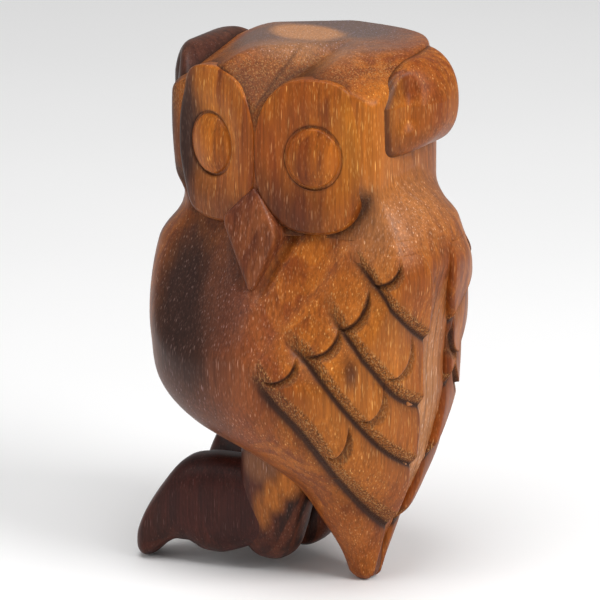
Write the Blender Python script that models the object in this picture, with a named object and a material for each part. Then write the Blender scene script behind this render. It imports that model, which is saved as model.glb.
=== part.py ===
"""Carved hardwood owl that stands on two feet and the tip of its tail, with its head turned to its left.

Metres, +Z up, the body looks along -Y and the owl's left side is +X. The figure is divided along
the carver's own lines, and neighbouring pieces keep the clearance GAP. Heights are measured from
the surface that the owl stands on.
"""

import math

import bmesh
import bpy
import numpy as np

GAP = 0.0003

BODY_HEIGHT = 0.1025
BODY_HALF_WIDTH = 0.038
CHEST_REACH = 0.0412
BACK_REACH = 0.0472
SHELL_THICKNESS = 0.008
CORE_BOTTOM = 0.034

WING_TOP = 0.966 * BODY_HEIGHT
WING_TIP_RISE = 0.003
WING_TOP_CORNER = 0.0305
TAIL_WIDTH = 0.0074
TAIL_TOP = 0.878 * BODY_HEIGHT

HEAD_HEIGHT = 0.0472
HEAD_HALF_WIDTH = 0.033
HEAD_BACK = 0.026
HEAD_TURN = math.radians(95)
NOSE_REACH = 0.028
FACE_TILT = math.radians(16.3)

DISC_HALF_WIDTH = 0.0165
DISC_HALF_HEIGHT = 0.0215
DISC_THICKNESS = 0.003
DISC_DROP = 0.0262
EYE_HALF_WIDTH = 0.0073
EYE_HALF_HEIGHT = 0.0083
EYE_DOME = 0.0012
EYE_SET_BACK = 0.0006
DISC_SQUARENESS = 2.4
BROW_DEPTH = 0.012
BROW_HALF_WIDTH = 0.013
BROW_BACK = 0.006
BROW_CUTTER_RISE = 0.004

BEAK_LENGTH = 0.0275
BEAK_HALF_WIDTH = 0.008
BEAK_ROOT = 0.017
BEAK_TOP_DROP = 0.0365
BEAK_SQUARENESS = 1.5

EAR_PROJECTION = 0.0105
EAR_ROOT_DEPTH = 0.007
EAR_HEIGHT = 0.0285
EAR_DROP = 0.0005
EAR_DEPTH = 0.025
EAR_CENTRE_BACK = 0.0035
EAR_SQUARENESS = 2.5

LEG_SPREAD = 0.0105
LEG_HALF_WIDTH = 0.0085
LEG_HALF_DEPTH = 0.0095
LEG_TOP = 0.056
LEG_SQUARENESS = 2.4

FOOT_LENGTH = 0.0375
FOOT_HALF_WIDTH = 0.0080
FOOT_HEIGHT = 0.0315
FOOT_OVERLAP = 0.0035
LEFT_FOOT_SPLAY = math.radians(12)
RIGHT_FOOT_SPLAY = math.radians(0)
SOLE_CORNER = 0.0030

# Share of BODY_HEIGHT, of BODY_HALF_WIDTH, of CHEST_REACH (forward), of BACK_REACH, and squareness.
BODY_STATIONS = (
    (0.000, 0.09, -0.40, 0.50, 2.1),
    (0.080, 0.17, -0.34, 0.55, 2.2),
    (0.175, 0.32, -0.21, 0.64, 2.2),
    (0.275, 0.47, -0.02, 0.75, 2.2),
    (0.360, 0.66, 0.29, 0.82, 2.3),
    (0.440, 0.84, 0.72, 0.85, 2.4),
    (0.535, 0.96, 0.93, 0.875, 2.5),
    (0.655, 1.00, 0.97, 0.89, 2.6),
    (0.780, 0.90, 1.00, 0.94, 2.8),
    (0.900, 0.74, 0.98, 0.99, 3.0),
    (1.000, 0.66, 0.81, 0.91, 2.6),
)

# Share of HEAD_HEIGHT, right and left reach as shares of HEAD_HALF_WIDTH, shares of HEAD_BACK and
# of NOSE_REACH, and squareness. The nape flares to the left, over the back of the shoulders.
HEAD_STATIONS = (
    (0.00, 0.94, 1.20, 0.95, 0.70, 2.8),
    (0.09, 0.95, 1.08, 0.98, 0.85, 3.0),
    (0.22, 0.97, 1.01, 1.00, 0.95, 3.2),
    (0.55, 1.00, 1.00, 1.00, 0.98, 3.4),
    (0.80, 0.98, 0.99, 1.00, 0.96, 3.4),
    (0.91, 0.91, 0.96, 1.00, 0.77, 3.2),
    (0.97, 0.72, 0.92, 0.99, 0.48, 3.0),
    (1.00, 0.52, 0.86, 0.96, 0.22, 2.8),
)

# Front edge of the left wing seen from its side, from the shoulder down: share of BODY_HEIGHT, then
# metres behind the body's axis.
WING_FRONT_EDGE = (
    (0.86, 0.0220),
    (0.75, 0.0130),
    (0.62, 0.0055),
    (0.49, -0.0010),
    (0.39, -0.0050),
    (0.28, -0.0070),
)

# Share of BEAK_LENGTH below its top, of BEAK_HALF_WIDTH, and metres ahead of the nose line.
BEAK_STATIONS = (
    (0.00, 0.08, -0.0015),
    (0.13, 0.34, -0.0008),
    (0.38, 1.00, 0.0000),
    (0.62, 0.78, 0.0006),
    (0.85, 0.40, 0.0004),
    (1.00, 0.12, -0.0006),
)

# Share of the ear's reach past its root, of EAR_DEPTH, shift back as a share of EAR_DEPTH, and its
# lower and upper ends as shares of EAR_HEIGHT.
EAR_STATIONS = (
    (0.00, 1.00, 0.00, 0.00, 0.97),
    (0.30, 0.94, 0.03, 0.06, 0.99),
    (0.60, 0.70, 0.12, 0.16, 1.00),
    (0.85, 0.42, 0.20, 0.30, 0.97),
    (0.96, 0.28, 0.22, 0.42, 0.90),
    (1.00, 0.14, 0.22, 0.52, 0.80),
)

# Height as a share of LEG_TOP, shares of LEG_HALF_WIDTH and LEG_HALF_DEPTH, inward and back shift.
LEG_STATIONS = (
    (0.035, 0.50, 0.45, 0.0035, -0.0030),
    (0.10, 0.74, 0.68, 0.0030, -0.0020),
    (0.30, 0.92, 0.90, 0.0010, 0.0010),
    (0.55, 1.00, 1.00, 0.0000, 0.0020),
    (1.00, 1.10, 1.10, -0.0010, 0.0020),
)

# Share of FOOT_LENGTH, of FOOT_HALF_WIDTH, metres under the sole, and share of FOOT_HEIGHT.
FOOT_STATIONS = (
    (0.00, 0.80, 0.0035, 1.00),
    (0.12, 0.88, 0.0025, 1.00),
    (0.28, 0.95, 0.0000, 0.99),
    (0.44, 1.00, 0.0000, 0.96),
    (0.60, 1.00, 0.0040, 0.88),
    (0.76, 0.98, 0.0000, 0.70),
    (0.90, 0.92, 0.0000, 0.48),
    (0.97, 0.74, 0.0012, 0.34),
    (1.00, 0.50, 0.0026, 0.24),
)

ROOM_DEPTH = 0.006
# How far cutters run past the back and under the floor.
BEHIND_BACK = 0.060
BELOW_FLOOR = -0.005
RING_POINTS = 40
HEAD_RING_POINTS = 40
SMALL_RING_POINTS = 24
BODY_LEVELS = 25
HEAD_LEVELS = 15
BEAK_LEVELS = 11
EAR_LEVELS = 11
# Below 1, this brings the ear's levels closer together towards its tip.
EAR_LEVEL_SPACING = 0.8
LEG_LEVELS = 10
EYE_DOME_RISES = (0.5, 1.0, 1.35)
CORNER_STEPS = 4
SHARP_ANGLE = math.radians(35)

WOOD = (0.52, 0.21, 0.06)
LIGHT_WOOD = (0.60, 0.29, 0.11)
DARK_WOOD = (0.06, 0.02, 0.014)


def clear_scene():
    for obj in list(bpy.data.objects):
        bpy.data.objects.remove(obj, do_unlink=True)


def new_collection(name):
    collection = bpy.data.collections.new(name)
    bpy.context.scene.collection.children.link(collection)
    return collection


def wood_material(name, colour, roughness=0.45):
    material = bpy.data.materials.new(name)
    material.use_nodes = True
    shader = material.node_tree.nodes["Principled BSDF"]
    shader.inputs["Base Color"].default_value = (*colour, 1)
    shader.inputs["Roughness"].default_value = roughness
    shader.inputs["Metallic"].default_value = 0
    return material


def smooth_rows(rows, shares):
    """Rows read at the given shares, along a curve that keeps to the rows and doesn't overshoot them."""
    rows = np.asarray(rows, float)
    x, y = rows[:, 0], rows[:, 1:]
    step = np.diff(x)[:, None]
    slope = np.diff(y, axis=0) / step
    tangent = np.vstack([slope[:1], (slope[:-1] + slope[1:]) / 2, slope[-1:]])
    turns = slope[:-1] * slope[1:] <= 0
    tangent[1:-1][turns] = 0
    steepest = 3 * np.minimum(np.abs(slope[:-1]), np.abs(slope[1:]))
    tangent[1:-1] = np.clip(tangent[1:-1], -steepest, steepest)
    i = np.clip(np.searchsorted(x, shares) - 1, 0, len(x) - 2)
    h = step[i]
    t = ((shares - x[i])[:, None]) / h
    return (
        (1 + 2 * t) * (1 - t) ** 2 * y[i]
        + t * (1 - t) ** 2 * h * tangent[i]
        + t * t * (3 - 2 * t) * y[i + 1]
        + t * t * (t - 1) * h * tangent[i + 1]
    )


def oval(half_x, low_y, high_y, squareness, count):
    """Closed superellipse: |x/a|^n + |(y - c)/b|^n = 1."""
    angle = np.arange(count) * 2 * math.pi / count
    cosine, sine = np.cos(angle), np.sin(angle)
    x = half_x * np.sign(cosine) * np.abs(cosine) ** (2 / squareness)
    y = (low_y + high_y) / 2 + (high_y - low_y) / 2 * np.sign(sine) * np.abs(sine) ** (2 / squareness)
    return x, y


def loft_mesh(name, rings):
    """Closed mesh through rings of equal length, with flat ends."""
    rings = np.asarray(rings, float)
    levels, count, _ = rings.shape
    faces = [
        (i * count + j, i * count + (j + 1) % count, (i + 1) * count + (j + 1) % count, (i + 1) * count + j)
        for i in range(levels - 1)
        for j in range(count)
    ]
    faces.append(tuple(range(count))[::-1])
    faces.append(tuple(range((levels - 1) * count, levels * count)))
    mesh = bpy.data.meshes.new(name)
    mesh.from_pydata(rings.reshape(-1, 3).tolist(), [], faces)
    shape = bmesh.new()
    shape.from_mesh(mesh)
    bmesh.ops.recalc_face_normals(shape, faces=shape.faces)
    shape.to_mesh(mesh)
    shape.free()
    mesh.shade_smooth()
    mesh.set_sharp_from_angle(angle=SHARP_ANGLE)
    return mesh


def add_part(name, mesh, collection, parent, colour=WOOD):
    obj = bpy.data.objects.new(name, mesh)
    obj.data.materials.append(wood_material(name, colour))
    obj.parent = parent
    collection.objects.link(obj)
    return obj


def add_cutter(name, mesh, collection, parent):
    obj = bpy.data.objects.new(name, mesh)
    obj.parent = parent
    obj.hide_render = True
    obj.display_type = "WIRE"
    collection.objects.link(obj)
    return obj


def combine(obj, other, operation="DIFFERENCE"):
    modifier = obj.modifiers.new(f"{operation.lower()} {other.name}", "BOOLEAN")
    modifier.operation = operation
    modifier.object = other
    modifier.solver = "EXACT"


def body_mesh(name, grow=0.0, lowest=0.0, highest=BODY_HEIGHT, drop=0.0):
    """The body's outer shape between two heights, made larger all round by grow. drop lowers its
    first ring alone, so that two such shapes keep their rings level with each other."""
    heights = np.linspace(lowest, highest, BODY_LEVELS)
    rings = []
    for z, row in zip(heights, smooth_rows(BODY_STATIONS, np.clip(heights / BODY_HEIGHT, 0, 1))):
        width, front, back, squareness = row
        x, y = oval(
            width * BODY_HALF_WIDTH + grow,
            -front * CHEST_REACH - grow,
            back * BACK_REACH + grow,
            squareness,
            RING_POINTS,
        )
        rings.append(np.stack([x, y, np.full_like(x, z)], axis=-1))
    rings[0][:, 2] -= max(grow, drop)
    rings[-1][:, 2] += max(grow, 0)
    return loft_mesh(name, rings)


def slab_mesh(name, outline, inner, outer):
    """Prism across the body: an outline in Y and Z, from x = inner to x = outer."""
    rings = [[(x, y, z) for y, z in outline] for x in (inner, outer)]
    return loft_mesh(name, rings)


def wing_outline(grow):
    """Side view of a wing's slab, whose back and underside lie outside the body."""
    front = [(back, share * BODY_HEIGHT) for share, back in WING_FRONT_EDGE]
    top = WING_TOP + grow
    corner = (WING_TOP_CORNER - grow, top)
    low = BELOW_FLOOR if grow > 0 else WING_TIP_RISE
    points = [corner] + [(y - grow, z) for y, z in front] + [(front[-1][0] - grow, low)]
    return points + [(BEHIND_BACK, low), (BEHIND_BACK, top)]


def tail_outline(grow):
    top = TAIL_TOP + grow
    front = WING_FRONT_EDGE[-1][1]
    back = BEHIND_BACK + GAP
    return [(front - grow, top), (front - grow, BELOW_FLOOR), (back, BELOW_FLOOR), (back, top)]


def shell_room(name, outline, inner, outer, core, cutters, parent):
    """Space that a wing or the tail takes out of the torso: its slab, less the torso's core."""
    room = add_cutter(name, slab_mesh(name, outline, inner, outer), cutters, parent)
    combine(room, core)
    return room


def shell_part(name, outline, inner, outer, core_room, cutters, parts, parent):
    """A wing or the tail: the body's skin within its slab, down to the torso's core."""
    part = add_part(name, body_mesh(name), parts, parent)
    slab = add_cutter(f"{name}_slab", slab_mesh(name, outline, inner, outer), cutters, parent)
    combine(part, slab, "INTERSECT")
    combine(part, core_room)
    return part


def add_body(parts, cutters, parent):
    core = add_cutter("core", body_mesh("core", -SHELL_THICKNESS, CORE_BOTTOM), cutters, parent)
    core_room = add_cutter(
        "core_room", body_mesh("core_room", GAP - SHELL_THICKNESS, CORE_BOTTOM, drop=GAP), cutters, parent
    )
    torso = add_part("torso", body_mesh("torso"), parts, parent)
    outer = 2 * BODY_HALF_WIDTH
    inner = TAIL_WIDTH / 2 + GAP
    for side, sign in (("left", 1), ("right", -1)):
        name = f"{side}_wing"
        shell_part(name, wing_outline(0), sign * inner, sign * outer, core_room, cutters, parts, parent)
        room = shell_room(
            f"{name}_room", wing_outline(GAP), sign * (inner - GAP), sign * outer, core, cutters, parent
        )
        combine(torso, room)
    half = TAIL_WIDTH / 2
    shell_part("tail", tail_outline(0), -half, half, core_room, cutters, parts, parent)
    reach = half + GAP
    combine(torso, shell_room("tail_room", tail_outline(GAP), -reach, reach, core, cutters, parent))
    return torso


def head_mesh(name):
    """The head without its face, whose two planes are set back to hold the facial discs."""
    shares = np.linspace(0, 1, HEAD_LEVELS)
    recess = (DISC_THICKNESS + GAP) / math.cos(FACE_TILT)
    rings = []
    for share, row in zip(shares, smooth_rows(HEAD_STATIONS, shares)):
        right, left, back, front, squareness = row
        centre = (left - right) / 2 * HEAD_HALF_WIDTH
        x, y = oval(
            (left + right) / 2 * HEAD_HALF_WIDTH,
            -front * NOSE_REACH,
            back * HEAD_BACK,
            squareness,
            HEAD_RING_POINTS,
        )
        x = x + centre
        y = np.maximum(y, -NOSE_REACH + recess + np.abs(x) * math.tan(FACE_TILT))
        z = np.full_like(x, BODY_HEIGHT + GAP + share * HEAD_HEIGHT)
        rings.append(np.stack([x, y, z], axis=-1))
    return loft_mesh(name, rings)


def head_top():
    return BODY_HEIGHT + GAP + HEAD_HEIGHT


def brow_mesh(name):
    """Wedge that cuts the valley from the nose up to the flat of the crown."""
    rise = BROW_CUTTER_RISE
    run = NOSE_REACH - BROW_BACK
    rings = []
    for forward in (NOSE_REACH + rise, BROW_BACK - rise):
        depth = BROW_DEPTH * (forward - BROW_BACK) / run
        half = BROW_HALF_WIDTH * (depth + rise) / BROW_DEPTH
        low, high = head_top() - depth, head_top() + rise
        rings.append([(-half, -forward, high), (0, -forward, low), (half, -forward, high)])
    return loft_mesh(name, rings)


def beak_mesh(name, grow=0.0):
    top = head_top() - BEAK_TOP_DROP
    shares = np.linspace(0, 1, BEAK_LEVELS)
    rings = []
    for share, (width, ahead) in zip(shares, smooth_rows(BEAK_STATIONS, shares)):
        x, y = oval(
            width * BEAK_HALF_WIDTH + grow,
            -NOSE_REACH - ahead - grow,
            -BEAK_ROOT + grow,
            BEAK_SQUARENESS,
            SMALL_RING_POINTS,
        )
        z = np.full_like(x, top - share * BEAK_LENGTH)
        rings.append(np.stack([x, y, z], axis=-1))
    rings[0][:, 2] += grow
    rings[-1][:, 2] -= grow
    return loft_mesh(name, rings)


def disc_mesh(name, half_width, half_height, front, back, squareness, dome=0.0, count=48):
    """Plate in the XZ plane between y = -front and y = back, with a domed front when dome isn't zero."""
    x, z = oval(half_width, -half_height, half_height, squareness, count)
    layers = [(1.0, back), (1.0, -front)]
    if dome:
        layers += [(math.cos(a), -front - dome * math.sin(a)) for a in EYE_DOME_RISES]
    rings = [np.stack([x * scale, np.full_like(x, y), z * scale], axis=-1) for scale, y in layers]
    return loft_mesh(name, rings)


def face_frame(sign, parent, cutters):
    """Empty on the nose line, turned so that its XZ plane is the front plane of one facial disc."""
    empty = bpy.data.objects.new("left_face" if sign > 0 else "right_face", None)
    empty.parent = parent
    empty.location = (0, -NOSE_REACH, head_top() - DISC_DROP)
    empty.rotation_euler = (0, 0, sign * FACE_TILT)
    cutters.objects.link(empty)
    return empty


def nose_cut_mesh(sign):
    """Block over the other half of the face: a disc ends half a clearance short of the nose line."""
    low = head_top() - 2 * DISC_DROP
    front, back = -NOSE_REACH - DISC_THICKNESS, -NOSE_REACH + 2 * DISC_THICKNESS
    outline = [(front, low), (back, low), (back, head_top()), (front, head_top())]
    return slab_mesh("nose_cut", outline, sign * GAP / 2, -sign * DISC_HALF_WIDTH)


def add_face(parts, cutters, head_frame, beak, torso):
    for side, sign in (("left", 1), ("right", -1)):
        frame = face_frame(sign, head_frame, cutters)
        across = sign * DISC_HALF_WIDTH
        disc = add_part(
            f"{side}_face_disc",
            disc_mesh("disc", DISC_HALF_WIDTH, DISC_HALF_HEIGHT, 0, DISC_THICKNESS, DISC_SQUARENESS),
            parts,
            frame,
            LIGHT_WOOD,
        )
        disc.location = (across, 0, 0)
        eye = add_part(
            f"{side}_eye",
            disc_mesh("eye", EYE_HALF_WIDTH, EYE_HALF_HEIGHT, -EYE_SET_BACK, DISC_THICKNESS, 2.0, EYE_DOME),
            parts,
            frame,
        )
        eye.location = (across, 0, 0)
        socket_mesh = disc_mesh(
            "eye_socket", EYE_HALF_WIDTH + GAP, EYE_HALF_HEIGHT + GAP, ROOM_DEPTH, ROOM_DEPTH, 2.0
        )
        socket = add_cutter(f"{side}_eye_socket", socket_mesh, cutters, frame)
        socket.location = (across, 0, 0)
        combine(disc, socket)
        combine(disc, add_cutter(f"{side}_nose_cut", nose_cut_mesh(sign), cutters, head_frame))
        half_sizes = DISC_HALF_WIDTH + GAP, DISC_HALF_HEIGHT + GAP
        room_mesh = disc_mesh("disc_room", *half_sizes, ROOM_DEPTH, DISC_THICKNESS + GAP, DISC_SQUARENESS)
        disc_room = add_cutter(f"{side}_disc_room", room_mesh, cutters, frame)
        disc_room.location = (across, 0, 0)
        combine(beak, disc_room)
        combine(torso, disc_room)


def ear_mesh(name, sign):
    shares = np.linspace(0, 1, EAR_LEVELS) ** EAR_LEVEL_SPACING
    top = head_top() - EAR_DROP
    rings = []
    for share, row in zip(shares, smooth_rows(EAR_STATIONS, shares)):
        depth, shift, low, high = row
        half = depth * EAR_DEPTH / 2
        centre = EAR_CENTRE_BACK + shift * EAR_DEPTH
        z, y = oval(
            (high - low) * EAR_HEIGHT / 2, centre - half, centre + half, EAR_SQUARENESS, SMALL_RING_POINTS
        )
        z = z + top - EAR_HEIGHT * (1 - (high + low) / 2)
        reach = HEAD_HALF_WIDTH - EAR_ROOT_DEPTH + share * (EAR_ROOT_DEPTH + EAR_PROJECTION)
        x = np.full_like(y, sign * reach)
        rings.append(np.stack([x, y, z], axis=-1))
    return loft_mesh(name, rings)


def add_head(parts, cutters, parent, torso):
    head_frame = bpy.data.objects.new("head_turn", None)
    head_frame.parent = parent
    head_frame.rotation_euler = (0, 0, HEAD_TURN)
    cutters.objects.link(head_frame)
    head = add_part("head", head_mesh("head"), parts, head_frame, LIGHT_WOOD)
    combine(head, add_cutter("brow_valley", brow_mesh("brow_valley"), cutters, head_frame))
    beak = add_part("beak", beak_mesh("beak"), parts, head_frame, WOOD)
    beak_room = add_cutter("beak_room", beak_mesh("beak_room", GAP), cutters, head_frame)
    combine(head, beak_room)
    combine(torso, beak_room)
    add_face(parts, cutters, head_frame, beak, torso)
    head_room = add_cutter("head_room", head_mesh("head_room"), cutters, head_frame)
    grow_along_normals(head_room.data, GAP)
    for side, sign in (("left", 1), ("right", -1)):
        colour = WOOD if sign > 0 else DARK_WOOD
        ear = add_part(f"{side}_ear", ear_mesh(f"{side}_ear", sign), parts, head_frame, colour)
        combine(ear, head_room)


def grow_along_normals(mesh, distance):
    shape = bmesh.new()
    shape.from_mesh(mesh)
    shape.normal_update()
    for vertex in shape.verts:
        vertex.co += vertex.normal * distance
    shape.to_mesh(mesh)
    shape.free()


def leg_mesh(name, sign, grow=0.0):
    heights = np.linspace(LEG_STATIONS[0][0], 1, LEG_LEVELS)
    rings = []
    for share, row in zip(heights, smooth_rows(LEG_STATIONS, heights)):
        width, depth, inward, back = row
        half = depth * LEG_HALF_DEPTH + grow
        x, y = oval(
            width * LEG_HALF_WIDTH + grow, back - half, back + half, LEG_SQUARENESS, SMALL_RING_POINTS
        )
        x = sign * (x + LEG_SPREAD - inward)
        rings.append(np.stack([x, y, np.full_like(x, share * LEG_TOP)], axis=-1))
    rings[0][:, 2] -= grow
    return loft_mesh(name, rings)


def rounded_box_ring(half, low, high, corner, steps=CORNER_STEPS):
    """Upright section with a flat sole: a rectangle whose corners are quarter circles."""
    points = []
    for cx, cz, start in ((1, 1, 0), (-1, 1, 90), (-1, -1, 180), (1, -1, 270)):
        radius = corner if cz < 0 else min(2 * corner, 0.9 * half, 0.45 * (high - low))
        for step in range(steps):
            angle = math.radians(start + 90 * step / (steps - 1))
            x = cx * (half - radius) + radius * math.cos(angle)
            z = (high - radius if cz > 0 else low + radius) + radius * math.sin(angle)
            points.append((x, z))
    return points


def foot_mesh(name):
    rings = []
    for share, width, under, top in FOOT_STATIONS:
        ring = rounded_box_ring(width * FOOT_HALF_WIDTH, under, top * FOOT_HEIGHT, SOLE_CORNER)
        rings.append([(x, -share * FOOT_LENGTH, z) for x, z in ring])
    return loft_mesh(name, rings)


def add_legs(parts, cutters, parent):
    body_room = add_cutter("body_room", body_mesh("body_room", GAP), cutters, parent)
    for side, sign, splay in (("left", 1, LEFT_FOOT_SPLAY), ("right", -1, RIGHT_FOOT_SPLAY)):
        leg = add_part(f"{side}_leg", leg_mesh(f"{side}_leg", sign), parts, parent, DARK_WOOD)
        combine(leg, body_room)
        leg_room = add_cutter(f"{side}_leg_room", leg_mesh(f"{side}_leg_room", sign, GAP), cutters, parent)
        foot = add_part(f"{side}_foot", foot_mesh(f"{side}_foot"), parts, parent, DARK_WOOD)
        foot.location = (sign * LEG_SPREAD, FOOT_OVERLAP - LEG_HALF_DEPTH, 0)
        foot.rotation_euler = (0, 0, sign * splay)
        combine(foot, leg_room)
        combine(foot, body_room)


def centre_on_base(parts, root):
    """Moves the root so that the origin is the middle of the underside of the object's box."""
    graph = bpy.context.evaluated_depsgraph_get()
    points = []
    for obj in parts.objects:
        evaluated = obj.evaluated_get(graph)
        points += [evaluated.matrix_world @ vertex.co for vertex in evaluated.data.vertices]
    points = np.array(points)
    low, high = points.min(axis=0), points.max(axis=0)
    root.location = (-(low[0] + high[0]) / 2, -(low[1] + high[1]) / 2, -low[2])


def main():
    clear_scene()
    parts = new_collection("carved_owl")
    cutters = new_collection("cutters")
    root = bpy.data.objects.new("owl_root", None)
    cutters.objects.link(root)
    torso = add_body(parts, cutters, root)
    add_head(parts, cutters, root, torso)
    add_legs(parts, cutters, root)
    bpy.context.view_layer.update()
    centre_on_base(parts, root)


main()
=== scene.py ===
"""Carved hardwood owl: closed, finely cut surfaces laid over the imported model, on a pale floor.

Surfaces are worked out in millimetres in the carver's own directions, +Z up, the body looking along
-Y and the owl's left side at +X, and are moved into the frame by to_frame(). Head pieces use the
turned head's own directions: p to the owl's left, q straight ahead of the face.
"""

import math

import bpy
import numpy as np
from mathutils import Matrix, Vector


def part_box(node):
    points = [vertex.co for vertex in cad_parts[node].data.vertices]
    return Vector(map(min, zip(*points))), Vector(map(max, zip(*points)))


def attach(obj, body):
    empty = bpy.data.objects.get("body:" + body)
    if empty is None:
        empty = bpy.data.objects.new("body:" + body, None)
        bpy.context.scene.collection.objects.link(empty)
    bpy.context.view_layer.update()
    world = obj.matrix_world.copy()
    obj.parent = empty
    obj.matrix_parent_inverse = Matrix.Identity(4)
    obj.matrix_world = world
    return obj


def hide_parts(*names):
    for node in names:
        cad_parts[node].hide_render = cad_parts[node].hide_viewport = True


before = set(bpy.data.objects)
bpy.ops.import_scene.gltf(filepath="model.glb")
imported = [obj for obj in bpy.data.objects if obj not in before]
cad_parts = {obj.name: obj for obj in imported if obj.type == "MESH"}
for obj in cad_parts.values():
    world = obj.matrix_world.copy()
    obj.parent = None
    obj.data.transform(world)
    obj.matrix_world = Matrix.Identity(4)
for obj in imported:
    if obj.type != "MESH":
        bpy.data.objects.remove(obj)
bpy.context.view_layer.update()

bl_info = {
    "name": "Carved owl",
    "version": (1, 0, 0),
    "blender": (4, 5, 0),
    "location": "3D View > Sidebar > Owl",
    "description": "Builds the carved wooden owl and its studio piece by piece",
    "category": "Add Mesh",
}

MM = 0.001

CHEST_REACH = 41.2
BODY_TOP = 102.5
HEAD_TOP = 150.0
HEAD_TURN = math.radians(95)
NOSE_REACH = 28.0
FACE_TILT = math.radians(16.3)
FACE_HEIGHT = 123.8
DISC_HALF_WIDTH = 16.5
DISC_HALF_HEIGHT = 21.5
DISC_SQUARENESS = 2.4
EYE_HALF_WIDTH = 7.3
EYE_HALF_HEIGHT = 8.3

# Height, half width, front and back edge, squareness of the body's level sections.
BODY_ROWS = (
    (0.0, 3.4, 16.5, 23.6, 2.1),
    (8.2, 6.5, 14.0, 26.0, 2.2),
    (17.9, 12.2, 8.7, 30.2, 2.2),
    (28.2, 17.9, 0.8, 35.4, 2.2),
    (36.9, 25.1, -12.0, 38.7, 2.3),
    (45.1, 31.9, -29.7, 40.1, 2.4),
    (54.8, 36.5, -38.3, 41.3, 2.5),
    (67.1, 38.0, -40.0, 42.0, 2.6),
    (80.0, 34.2, -41.2, 44.4, 2.8),
    (92.3, 28.1, -40.4, 46.7, 3.0),
    (102.5, 25.1, -33.4, 43.0, 2.6),
    (110.0, 20.0, -28.0, 37.0, 2.4),
    (118.0, 12.0, -16.0, 26.0, 2.2),
)

# Height, reach to the right, left, back and front, squareness of the head's level sections.
HEAD_ROWS = (
    (90.0, 23.0, 31.0, 18.0, 14.0, 2.4),
    (102.8, 31.0, 39.0, 24.7, 19.6, 2.8),
    (107.0, 31.4, 35.6, 25.5, 24.0, 3.0),
    (113.2, 32.0, 33.0, 26.0, 28.0, 4.0),
    (128.8, 33.0, 32.6, 26.0, 28.5, 4.3),
    (140.6, 32.4, 32.4, 26.0, 28.5, 4.2),
    (146.0, 31.4, 32.0, 25.8, 28.5, 3.6),
    (151.0, 30.4, 31.6, 25.2, 28.5, 3.2),
)

# Height, then how far behind the axis the wing's front edge runs.
WING_FRONT = ((28.7, -7.0), (40.0, -5.0), (50.2, -1.0), (63.5, 5.5), (76.9, 13.0), (88.2, 22.0), (99.0, 30.5))
WING_TOP = 99.0
STRIP_TOP = 101.0

# Height, then how far each wing's trailing edge stays from the middle of the back.
LEFT_TRAILING = (
    (0.0, 0.6), (15.0, 1.0), (31.0, 1.6), (41.0, 2.7), (49.0, 2.3),
    (56.0, 2.8), (72.0, 3.3), (85.0, 5.0), (99.0, 8.6),
)
RIGHT_TRAILING = (
    (0.0, 0.6), (15.0, 1.4), (30.0, 2.6), (38.0, 4.2), (47.0, 7.4),
    (55.0, 9.4), (66.0, 9.2), (74.0, 7.8), (86.0, 3.6), (99.0, 2.6),
)

# The wing is carved as seen from behind its own shoulder: across runs towards the tail, and each
# groove is given by points (across, height), from its shallow beginning to the trailing edge.
VIEW_TURN = math.radians(125)
GROOVES = (
    ((9.0, 100.4), (11.5, 97.9), (17.9, 91.1), (25.4, 81.9), (33.2, 72.3), (40.0, 66.0)),
    ((3.0, 86.4), (5.3, 83.6), (9.4, 78.5), (17.4, 68.7), (25.6, 58.2), (31.7, 53.6), (40.0, 48.0)),
    ((-8.0, 77.2), (-4.8, 74.2), (0.0, 70.0), (9.4, 57.8), (20.2, 44.3), (29.3, 36.1), (40.0, 29.0)),
    (
        (-18.5, 68.4), (-15.2, 64.9), (-12.1, 60.5), (-1.4, 48.1),
        (9.4, 31.4), (20.5, 18.8), (24.7, 14.9), (40.0, 3.0),
    ),
)

# Depth of each groove and width of the tooled face above it, the distance over which the feathers
# below a groove rise again, and the height of the lip above its face.
GROOVE_CUTS = ((1.7, 2.5), (2.0, 3.0), (2.1, 3.3), (1.9, 5.2))
GROOVE_RISE = 4.5
GROOVE_LIP = 0.22

# Feather ends: (across, height) of the lowest point, then of the upper end of the rising arc.
SCALLOP_DEPTH = 1.45
SCALLOPS = (
    ((18.6, 91.2), (25.3, 98.0)),
    ((9.6, 79.4), (16.4, 90.4)),
    ((1.2, 71.8), (8.5, 79.6)),
    ((-10.4, 64.2), (-3.0, 71.0)),
    ((23.6, 64.6), (29.2, 75.0)),
    ((16.2, 53.4), (21.9, 63.0)),
    ((6.4, 42.0), (11.8, 52.0)),
)

# Soft valleys over the shoulder, (across, height), then the depth and half width of each.
VALLEYS = (
    ((-16.0, 76.0), (-6.1, 86.5), (5.3, 98.3), (16.3, 105.4)),
    ((-19.0, 67.0), (-13.3, 72.9), (-9.1, 78.1), (1.3, 88.7), (10.6, 100.8)),
)
VALLEY_CUTS = ((0.75, 2.3), (0.8, 2.6))

# Planes cut from the head after the face and the crown: a point on each, its outward normal, and the
# width of the rounding where it meets the rest.
HEAD_PLANES = (
    ((23.3, 4.5, 150), (0.408, 0.375, 0.832), 1.6),
    ((30.0, 19.2, 141.5), (0.6, 0.35, 0.75), 3.0),
    ((-13.1, -16.7, 150), (-0.42, -0.60, 0.68), 2.0),
    ((27.0, -21.0, 150), (0.72, -0.52, 0.46), 2.0),
    ((-16.8, -5.2, 150), (-0.454, 0.184, 0.872), 2.2),
)
BROW_MEETING = (0, 28, 136)
NEAR_BROW_NORMAL = (-0.44, 0.235, 0.867)
FAR_BROW_NORMAL = (0.505, 0.507, 0.699)

# Where the head's block starts and the body's block ends, inside each other, and the rounding of the
# neck between them.
HEAD_FLOOR = 92
BODY_LID = 116
NECK_ROUNDING = 6.0

# The round lower tip, and the least height at which it is read.
TIP_HEIGHT = 2.6
LEAST_HEIGHT = 0.02

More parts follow.
